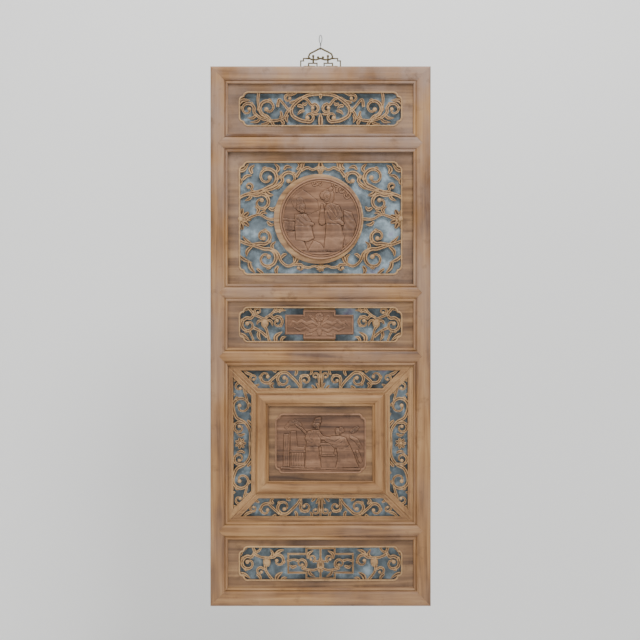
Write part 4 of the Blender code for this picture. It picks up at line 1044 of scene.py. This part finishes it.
def cloud(x, z, size, turn=1):
    """A curl of cloud, as one spiral limb."""
    stations = []
    for step in range(14):
        share = step / 13
        angle = turn * (math.radians(200) - math.radians(430) * share)
        radius = size * (1 - 0.72 * share)
        stations.append((x + radius * math.cos(angle), z + radius * math.sin(angle), size * 0.2))
    return limb(*stations, base=0.6, crown=1.3)


def figure_head(x, z, size, turn=1):
    """A head with a calm, plain face: brow, nose, mouth and chin on common proportions."""
    ear = x - turn * size * 0.7
    return [
        limb((ear, z + size * 0.35, size * 0.9), (x, z + size * 0.6, size * 0.85), base=2.2, crown=2.4),
        limb((x, z + size * 0.3, size * 0.78), (x, z - size * 0.45, size * 0.6), base=3.0, crown=2.6, edge=size * 0.9),
        limb((x, z + size * 0.2, 0.7), (x, z - size * 0.12, 1.1), base=5.4, crown=0.8, edge=1.1),
        limb((x - size * 0.2, z - size * 0.42, 0.7), (x + size * 0.2, z - size * 0.42, 0.7), base=5.0, crown=0.4, edge=0.8),
    ]


def heights(x, z, forms):
    """The surface of a relief: each form laid over the last, with its outline cut in round it."""
    surface = np.zeros(x.shape)
    for form in forms:
        reach = (reach_inside if form.kind == "limb" else area_inside)(x, z, form.points)
        round_off = np.sqrt(1 - (1 - np.clip(reach / form.edge, 0, 1)) ** 2)
        top = form.base + form.crown * round_off
        if form.folds:
            (fan_x, fan_z), count, rise = form.folds
            turn = np.arctan2(z - fan_z, x - fan_x)
            far = np.hypot(x - fan_x, z - fan_z)
            wave = np.cos(turn * count + 0.9 * np.sin(far * 0.16))
            top = top + rise * (0.5 + 0.5 * wave) ** 1.4 * np.clip(reach / 2.5, 0, 1)
        cut = 0.9 * np.exp(-((np.minimum(reach, 0) / 1.1) ** 2))
        surface = np.where(reach > 0, np.maximum(surface * 0.8, top), surface - cut)
    return np.maximum(surface, -1.2)


def relief_surface(name, forms, size, ground, place, keep, roughen=0.25):
    """A carved surface over its ground, as a fine sheet whose edges run back into the piece."""
    pitch = sizes().relief_pitch / MM
    bpy.ops.object.select_all(action="DESELECT")
    columns, rows = round(size[0] / pitch), round(size[1] / pitch)
    bpy.ops.mesh.primitive_grid_add(x_subdivisions=columns, y_subdivisions=rows, size=1)
    obj = bpy.context.view_layer.objects.active
    obj.name = name
    count = len(obj.data.vertices)
    places = np.empty(count * 3)
    obj.data.vertices.foreach_get("co", places)
    places = places.reshape(-1, 3)
    x, z = places[:, 0] * size[0], places[:, 1] * size[1]
    rise = heights(x, z, forms)
    grain = np.array([noise.noise(Vector((a * 0.11, b * 0.11, 1.7))) for a, b in zip(x, z)])
    rise = rise + roughen * grain
    places[:, 0], places[:, 1], places[:, 2] = x * MM, z * MM, rise * MM
    obj.data.vertices.foreach_set("co", places.ravel())
    bm = bmesh.new()
    bm.from_mesh(obj.data)
    outside = keep(x, z) < 0
    bm.verts.ensure_lookup_table()
    bmesh.ops.delete(bm, geom=[bm.verts[i] for i in np.nonzero(outside)[0]], context="VERTS")
    rim = [edge for edge in bm.edges if edge.is_boundary]
    back = bmesh.ops.extrude_edge_only(bm, edges=rim)["geom"]
    for item in back:
        if isinstance(item, bmesh.types.BMVert):
            item.co.z = -4 * MM
    base = [item for item in back if isinstance(item, bmesh.types.BMEdge)]
    bmesh.ops.edgeloop_fill(bm, edges=base)
    bmesh.ops.recalc_face_normals(bm, faces=bm.faces)
    bm.to_mesh(obj.data)
    bm.free()
    obj.matrix_world = Matrix.Translation((place[0] * MM, -ground * MM, place[1] * MM)) @ TO_FRONT
    settle(obj)
    return mark_wear_and_shade(shade(obj, math.radians(60)))


def medallion_forms():
    forms = [
        area((-44, 72), (-26, 60), (-8, 45), (-4, 22), (-30, 10), (-66, 26), (-74, 46), (-60, 62), base=0.6, crown=1.2, edge=9),
        cloud(52, 72, 12), cloud(68, 58, 9, -1), cloud(38, 84, 8), cloud(-14, 88, 7, -1), cloud(-2, 86, 6),
        area((-92, -6), (-62, -8), (-60, -30), (-92, -28), base=0.8, crown=1.0, edge=4, folds=((-76, 60), 60, 0.8)),
        limb((-92, -2, 3), (-60, -4, 3), base=1.5, crown=1.2),
        area((-84, -36), (-60, -30), (-40, -60), (-30, -84), (-60, -78), (-78, -58), base=0.8, crown=1.8, edge=8, folds=((-60, 0), 14, 0.9)),
        area((-34, -84), (-18, -54), (0, -62), (16, -84), base=1, crown=2, edge=7, folds=((-6, -30), 16, 0.9)),
        area((58, 22), (78, 16), (90, -16), (78, -56), (58, -72), (50, -50), (58, -16), base=0.8, crown=1.6, edge=7, folds=((40, 30), 26, 1.2)),
        # The standing figure's robe, body and sleeves
        area((14, -10), (50, -12), (60, -48), (54, -80), (34, -84), (8, -80), (12, -44), base=1.8, crown=2.0, edge=7, folds=((30, 40), 24, 1.2)),
        area((14, 34), (26, 40), (42, 34), (54, 10), (50, -14), (14, -12), (8, 10), base=2.4, crown=2.2, edge=7, folds=((24, 46), 16, 1.0)),
        limb((18, 26, 7), (30, 4, 8), (54, -12, 5), base=3.2, crown=1.8, folds=((16, 30), 15, 0.9)),
        limb((42, 28, 6), (50, 8, 6), (40, 0, 4), base=3.0, crown=1.6, folds=((42, 34), 14, 0.8)),
        limb((19, 60, 14.5), (20, 50, 13), base=1.2, crown=1.6, edge=7, folds=((19, 55), 22, 0.5)),
        *figure_head(16, 54, 11),
        limb((27, 75, 4), (24, 72, 5), base=2.4, crown=1.8),
        # The tall vessel between the figures
        limb((4, 26, 4), (4, -8, 8.5), base=2.2, crown=2.2),
        limb((4, 34, 3), (4, 27, 3.5), base=2.0, crown=1.2),
        # The seated figure
        area((-66, -12), (-24, -14), (-16, -50), (-34, -58), (-62, -54), base=2.0, crown=2.0, edge=7, folds=((-44, 24), 20, 1.2)),
        area((-64, 10), (-36, 12), (-24, -6), (-26, -20), (-64, -18), base=2.5, crown=2.0, edge=6, folds=((-46, 22), 16, 0.9)),
        limb((-56, 4, 6), (-40, -10, 6), (-20, -14, 4), base=3.3, crown=1.6, folds=((-58, 8), 14, 0.8)),
        limb((-52, 44, 9), (-50, 34, 9), base=1.8, crown=1.8, folds=((-50, 30), 16, 0.5)),
        *figure_head(-46, 24, 9.5),
        limb((-40, -84, 3), (0, -88, 3), (44, -84, 3), base=0.6, crown=0.8),
    ]
    return forms


def disc_edge(radius):
    return lambda x, z: radius - np.hypot(x, z)


def turned_ring(name, profile, place, steps=96):
    """A moulding turned round the front's axis, from radius and depth pairs."""
    mesh = bpy.data.meshes.new(name)
    mesh.from_pydata([(radius * MM, 0, depth * MM) for radius, depth in profile], [(i, i + 1) for i in range(len(profile) - 1)], [])
    obj = bpy.data.objects.new(name, mesh)
    bpy.context.scene.collection.objects.link(obj)
    select_only(obj)
    turn = obj.modifiers.new("Turn", "SCREW")
    turn.steps = turn.render_steps = steps
    turn.use_merge_vertices = True
    turn.merge_threshold = 0.00001
    bpy.ops.object.modifier_apply(modifier=turn.name)
    obj.matrix_world = Matrix.Translation((place[0] * MM, 0, place[1] * MM)) @ TO_FRONT
    settle(obj)
    bpy.ops.object.mode_set(mode="EDIT")
    bpy.ops.mesh.select_all(action="SELECT")
    bpy.ops.mesh.normals_make_consistent(inside=False)
    bpy.ops.object.mode_set(mode="OBJECT")
    return mark_wear_and_shade(shade(obj))


class CarveMedallion(bpy.types.Operator):
    """Carves the round relief"""

    bl_idname = "carved_panel.medallion"
    bl_label = "Round relief"

    def execute(self, context):
        place = middle("medallion")
        rim = MEDALLION_RADIUS
        profile = [
            (rim - 12, 14), (rim - 10, 19.5), (rim - 8.6, 21.6), (rim - 7, 21.2), (rim - 6.2, 20.4), (rim - 5, 22.6),
            (rim - 3, 24), (rim - 1.2, 23.4), (rim, 21.5), (rim, 12.3), (0, 12.3),
        ]
        ring = turned_ring("medallion_rim", profile, place)
        surface = relief_surface("medallion_relief", medallion_forms(), (190, 190), 18.5, place, disc_edge(94))
        piece = joined("medallion_carved", [surface, ring])
        dress(piece, wood("medallion carving", "relief", False, 2.7, True, 0.2))
        stand_in(piece, "relief_wood", "medallion")
        return {"FINISHED"}


def plaque_forms():
    forms = [limb((0, -22, 5), (0, -10, 8), (0, 2, 4.5), base=1.0, crown=1.8), limb((0, 18, 11), base=1, crown=1.4, folds=((0, 18), 9, 0.9)), limb((0, 18, 4), base=2.2, crown=0.8)]
    for side in (-1, 1):
        forms += [
            limb((side * 6, 0, 3), (side * 18, 8, 4), (side * 32, 2, 4), (side * 46, 10, 3.5), base=0.8, crown=1.5),
            limb((side * 44, 10, 3.5), (side * 56, 2, 3.5), (side * 66, 8, 3), (side * 74, -2, 2), base=0.6, crown=1.4),
            limb((side * 7, -10, 3), (side * 22, -16, 3.5), (side * 34, -8, 3), (side * 48, -14, 3), (side * 62, -8, 2), base=0.7, crown=1.4),
            limb((side * 22, 20, 5), base=0.8, crown=1.2, folds=((side * 22, 20), 7, 0.7)),
            limb((side * 10, 8, 2), (side * 20, 16, 2.5), base=0.7, crown=1.0),
            limb((side * 20, -24, 3), (side * 30, -26, 3), base=0.6, crown=1.0),
        ]
    return forms


def plaque_edge(grow):
    outline = cross_outline(PLAQUE_TALL, PLAQUE_WIDE, grow)
    return lambda x, z: area_inside(x, z, outline)


class CarvePlaque(bpy.types.Operator):
    """Carves the stepped plaque"""

    bl_idname = "carved_panel.plaque"
    bl_label = "Stepped plaque"

    def execute(self, context):
        x, z = middle("narrow_plaque")
        outer = cross_outline(PLAQUE_TALL, PLAQUE_WIDE)
        base = slab("plaque_base", [outer], 18.3, 22.6, (x, z))
        inner = cross_outline(PLAQUE_TALL, PLAQUE_WIDE, -5.4)
        lip = slab("plaque_lip", [cross_outline(PLAQUE_TALL, PLAQUE_WIDE, -0.6), inner], 22, 25.4, (x, z))
        crest = bead("plaque_crest", cross_outline(PLAQUE_TALL, PLAQUE_WIDE, -3), 24.4, (x, z), 3.6 * MM)
        surface = relief_surface("plaque_relief", plaque_forms(), (164, 66), 23.0, (x, z), plaque_edge(-4.8))
        piece = joined("narrow_plaque_carved", [surface, base, lip, crest])
        dress(piece, wood("plaque carving", "relief", False, 6.1, True, 0.15))
        stand_in(piece, "relief_wood", "narrow_plaque")
        return {"FINISHED"}


def centre_forms():
    return [
        # Tree and banner at the upper left, column and chair below it
        limb((-76, 50, 5), (-64, 54, 6), (-52, 46, 5), base=0.8, crown=1.2, folds=((-64, 50), 8, 0.8)),
        limb((-86, 40, 4), (-80, 48, 4), base=0.6, crown=1.0),
        limb((-60, 46, 2.4), (-46, 36, 2.6), (-32, 20, 2.6), base=2.2, crown=1.2),
        area((-92, 24), (-80, 24), (-78, -58), (-94, -58), base=0.8, crown=0.9, edge=3, folds=((-86, 500), 560, 0.8)),
        area((-76, 30), (-62, 32), (-58, -8), (-40, -10), (-40, -20), (-74, -20), base=0.9, crown=1.2, edge=4),
        area((-74, -22), (-42, -22), (-40, -58), (-74, -60), base=0.6, crown=0.8, edge=3, folds=((-58, 400), 440, 0.8)),
        limb((-76, -20, 2.4), (-40, -20, 2.4), base=1.8, crown=0.8),
        limb((-74, -58, 2.2), (-38, -60, 2.2), base=1.6, crown=0.8),
        # The standing figure
        area((-36, -4), (-6, -6), (-2, -34), (2, -62), (-40, -62), (-38, -34), base=1.4, crown=1.8, edge=6, folds=((-20, 40), 22, 1.0)),
        area((-34, 22), (-22, 34), (-4, 34), (4, 20), (-2, -8), (-36, -8), base=2.0, crown=1.8, edge=6, folds=((-14, 40), 15, 0.9)),
        limb((-6, 26, 5), (4, 14, 5), (22, 12, 3.4), base=2.6, crown=1.4, folds=((-8, 30), 12, 0.6)),
        limb((-28, 26, 5), (-34, 12, 5), (-22, 6, 4), base=2.4, crown=1.4, folds=((-28, 32), 12, 0.6)),
        *figure_head(-8, 44, 8),
        area((-18, 52), (2, 52), (0, 66), (-12, 64), base=2.4, crown=1.6, edge=4),
        # The low table with a basin
        area((-2, 0), (40, 0), (36, -10), (32, -28), (4, -28), (2, -10), base=1.2, crown=1.0, edge=3, folds=((19, 240), 150, 0.5)),
        limb((-2, -2, 3), (40, -2, 3), base=1.8, crown=1.2),
        limb((2, -30, 2), (34, -30, 2), base=1.0, crown=0.8),
        # The bowing figure
        area((38, -6), (70, 2), (84, -28), (96, -60), (38, -62), (44, -34), base=1.4, crown=1.8, edge=6, folds=((60, 44), 20, 1.1)),
        area((18, 6), (26, 18), (46, 20), (64, 14), (72, -4), (58, -14), (34, -12), base=2.0, crown=2.0, edge=7, folds=((60, 24), 14, 0.9)),
        limb((54, 10, 5), (36, 0, 5), (14, 8, 3.4), base=2.7, crown=1.4, folds=((58, 16), 12, 0.6)),
        *figure_head(43, 28, 7.5, -1),
        limb((52, 36, 5), (56, 32, 4), base=2.2, crown=1.6),
        # Foliage and rocks at the right, and the ground
        limb((80, 30, 6), (92, 38, 5), base=0.7, crown=1.3, folds=((86, 34), 9, 0.9)),
        limb((76, 16, 4), (90, 8, 5), (100, -8, 4), base=0.7, crown=1.2, folds=((96, 20), 9, 0.8)),
        limb((92, -20, 4), (100, -44, 5), base=0.7, crown=1.2, folds=((80, -30), 9, 0.8)),
        limb((-98, -62, 2.6), (-40, -65, 2.4), (20, -63, 2.6), (98, -65, 2.6), base=0.6, crown=0.8),
    ]


class CarveCentreRelief(bpy.types.Operator):
    """Carves the framed relief at the middle of the square bay"""

    bl_idname = "carved_panel.centre_relief"
    bl_label = "Framed relief"

    def execute(self, context):
        x, z = middle("centre_relief_panel")
        low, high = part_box("centre_relief_panel")
        width, height = RELIEF_SIZE
        hole = stepped_corners(width - 4, height - 4, RELIEF_STEP)
        outer = rectangle((high.x - low.x) / MM, (high.z - low.z) / MM)
        board = slab("centre_board", [outer, hole], BOARD_BACK, 22, (x, z))
        back = slab("centre_back", [rectangle(width + 10, height + 10)], BOARD_BACK + 0.5, 16, (x, z))
        rim = bead("centre_bead", stepped_corners(width, height, RELIEF_STEP), 22, (x, z), 4 * MM)
        keep = lambda a, b: area_inside(a, b, hole) + 1.2
        surface = relief_surface("centre_relief", centre_forms(), (width, height), 18.5, (x, z), keep)
        dress(board, wood("centre board wood", "board", False, 8.8, True, 0.2))
        carved = wood("centre carving", "relief", False, 3.9, True, 0.1)
        for piece in (back, rim, surface):
            dress(piece, carved)
        stand_in(joined("centre_relief_carved", [board, back, rim, surface]), "relief_wood", "centre_relief_panel")
        return {"FINISHED"}


class MakeHanger(bpy.types.Operator):
    """Makes the openwork hanger and the wire eye, and gives the hanger's screws their finish"""

    bl_idname = "carved_panel.hanger"
    bl_label = "Hanger"

    def execute(self, context):
        section = section_curve(
            "hanger_section", [(-1, -0.5), (-0.9, 0.1), (-0.45, 0.5), (0.45, 0.5), (0.9, 0.1), (1, -0.5)]
        )
        lines, pieces = [], []
        for side in (1, -1):
            for points in HANGER_STROKES:
                lines.append([(side * px, pz, 2.2, 0) for px, pz in points])
            for px, pz in HANGER_KNOBS:
                pieces.append(knob(f"hanger_knob_{side}_{px}", (side * px, pz), 3.2, 3.6, 0.6))
            tab = rectangle(30, 29, (side * 28, 12.5))
            pieces.append(slab(f"hanger_tab_{side}", [tab], HANGER_BACK, HANGER_FRONT, (0, 0)))
        pieces.append(drawing("hanger_strokes", lines, 3.5, (0, 0), False, section=section))
        bpy.data.objects.remove(section)
        patina = aged_metal("hanger brass", tuple(finish().brass), 0.4, (0.1, 0.11, 0.07))
        piece = shade(joined("hanger_openwork", pieces))
        dress(piece, patina)
        stand_in(piece, "hanger_brass", "hanger")
        for name in ("hanger_screw_left", "hanger_screw_right"):
            dress(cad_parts[name], patina)
        self.wire_eye()
        return {"FINISHED"}

    def wire_eye(self):
        turns = [2 * math.pi * step / 28 for step in range(28)]
        upper = [(3.4 * math.cos(t), 94.3 + 9.9 * math.sin(t), 1) for t in turns]
        eye = drawing("wire_upper", [upper], 3.5, (0, 0), True, round_radius=0.9)
        lower_line = [(-2.2, 67.6), (2.2, 67.6), (2.5, 68.3), (2.5, 76.3), (1.2, 77.6), (-1.2, 77.6), (-2.5, 76.3), (-2.5, 68.3)]
        lower = drawing("wire_lower", [[(px, pz, 1) for px, pz in lower_line]], 0, (0, 0), True, round_radius=0.9)
        lower.matrix_world = Matrix.Translation((0, -3.5 * MM, 0)) @ Matrix.Rotation(math.radians(90), 4, "Z")
        settle(lower)
        turns = [math.pi * 2 * step / 12 for step in range(49)]
        twist = [
            (1.2 * math.cos(t), 77.4 + 7.6 * index / 48, 1, 1.2 * math.sin(t)) for index, t in enumerate(turns)
        ]
        binding = drawing("wire_twist", [twist], 3.5, (0, 0), False, round_radius=0.8)
        piece = shade(joined("hanging_loop_wire", [eye, lower, binding]))
        dress(piece, aged_metal("loop steel", tuple(finish().wire), 0.45, (0.3, 0.29, 0.28)))
        stand_in(piece, "steel_wire", "hanging_loop")


class SetStage(bpy.types.Operator):
    """Sets the floor, the backdrop, the lights and the camera"""

    bl_idname = "carved_panel.stage"
    bl_label = "Stage"

    def execute(self, context):
        pale = Nodes("stage paper")
        pale.shader.inputs["Base Color"].default_value = (0.93, 0.93, 0.92, 1)
        pale.shader.inputs["Roughness"].default_value = 0.9
        bpy.ops.object.select_all(action="DESELECT")
        bpy.ops.mesh.primitive_plane_add(size=12, location=(0, -2, -1.75))
        floor = bpy.context.view_layer.objects.active
        floor.name = "floor"
        bpy.ops.mesh.primitive_plane_add(size=12, location=(0, 0.9, 0), rotation=(math.radians(90), 0, 0))
        backdrop = bpy.context.view_layer.objects.active
        backdrop.name = "backdrop"
        for sheet in (floor, backdrop):
            dress(sheet, pale.material)
        self.light("key", (0.9, -2.2, 2.1), (0, 0, -0.5), 75, 0.9)
        self.light("fill", (-2.6, -2.6, 0.2), (0, 0, -0.65), 26, 2.0)
        self.light("low", (0.6, -3.0, -1.2), (0, 0, -0.8), 12, 2.0)
        self.light("backdrop", (0, -0.6, 1.8), (0, 0.9, -0.2), 40, 2.5)
        world = bpy.data.worlds.new("studio")
        world.use_nodes = True
        world.node_tree.nodes["Background"].inputs["Color"].default_value = (1, 1, 1, 1)
        world.node_tree.nodes["Background"].inputs["Strength"].default_value = 0.55
        context.scene.world = world
        self.camera(context)
        return {"FINISHED"}

    def light(self, name, place, target, power, size):
        lamp = bpy.data.lights.new(name, "AREA")
        lamp.energy = power
        lamp.size = size
        obj = bpy.data.objects.new(name, lamp)
        bpy.context.scene.collection.objects.link(obj)
        obj.location = place
        obj.rotation_euler = (Vector(target) - Vector(place)).to_track_quat("-Z", "Y").to_euler()

    def camera(self, context):
        lens = bpy.data.cameras.new("view")
        obj = bpy.data.objects.new("view", lens)
        context.scene.collection.objects.link(obj)
        distance, frame_height = 3.6, 1.6
        obj.location = (-0.0014, -distance - 0.032, -0.6135)
        obj.rotation_euler = (math.radians(90), 0, 0)
        lens.sensor_fit = "AUTO"
        lens.angle = 2 * math.atan(frame_height / 2 / distance)
        context.scene.camera = obj


class CarvedPanelSidebar(bpy.types.Panel):
    bl_idname = "VIEW3D_PT_carved_panel"
    bl_label = "Carved Panel"
    bl_space_type = "VIEW_3D"
    bl_region_type = "UI"
    bl_category = "Carved Panel"

    def draw(self, context):
        layout = self.layout
        for group in (context.scene.carved_panel_sizes, context.scene.carved_panel_finish):
            for name in group.bl_rna.properties.keys():
                if name not in ("rna_type", "name"):
                    layout.prop(group, name)
        for operator in OPERATORS:
            layout.operator(operator.bl_idname)


OPERATORS = (
    DressFrame, CarveTopBoard, CarveMedallionBoard, CarveMedallion, CarveNarrowBoard, CarvePlaque,
    CarveBorderBoards, CarveCentreRelief, CarveBottomBoard, MakeHanger, SetStage,
)
CLASSES = (CarvedPanelSizes, CarvedPanelFinish, *OPERATORS, CarvedPanelSidebar)


def register():
    for cls in CLASSES:
        bpy.utils.register_class(cls)
    bpy.types.Scene.carved_panel_sizes = PointerProperty(type=CarvedPanelSizes)
    bpy.types.Scene.carved_panel_finish = PointerProperty(type=CarvedPanelFinish)


def unregister():
    del bpy.types.Scene.carved_panel_finish
    del bpy.types.Scene.carved_panel_sizes
    for cls in reversed(CLASSES):
        bpy.utils.unregister_class(cls)


def main():
    register()
    for operator in (
        bpy.ops.carved_panel.frame,
        bpy.ops.carved_panel.top_board,
        bpy.ops.carved_panel.medallion_board,
        bpy.ops.carved_panel.medallion,
        bpy.ops.carved_panel.narrow_board,
        bpy.ops.carved_panel.plaque,
        bpy.ops.carved_panel.border_boards,
        bpy.ops.carved_panel.centre_relief,
        bpy.ops.carved_panel.bottom_board,
        bpy.ops.carved_panel.hanger,
        bpy.ops.carved_panel.stage,
    ):
        operator()


if __name__ == "__main__":
    main()
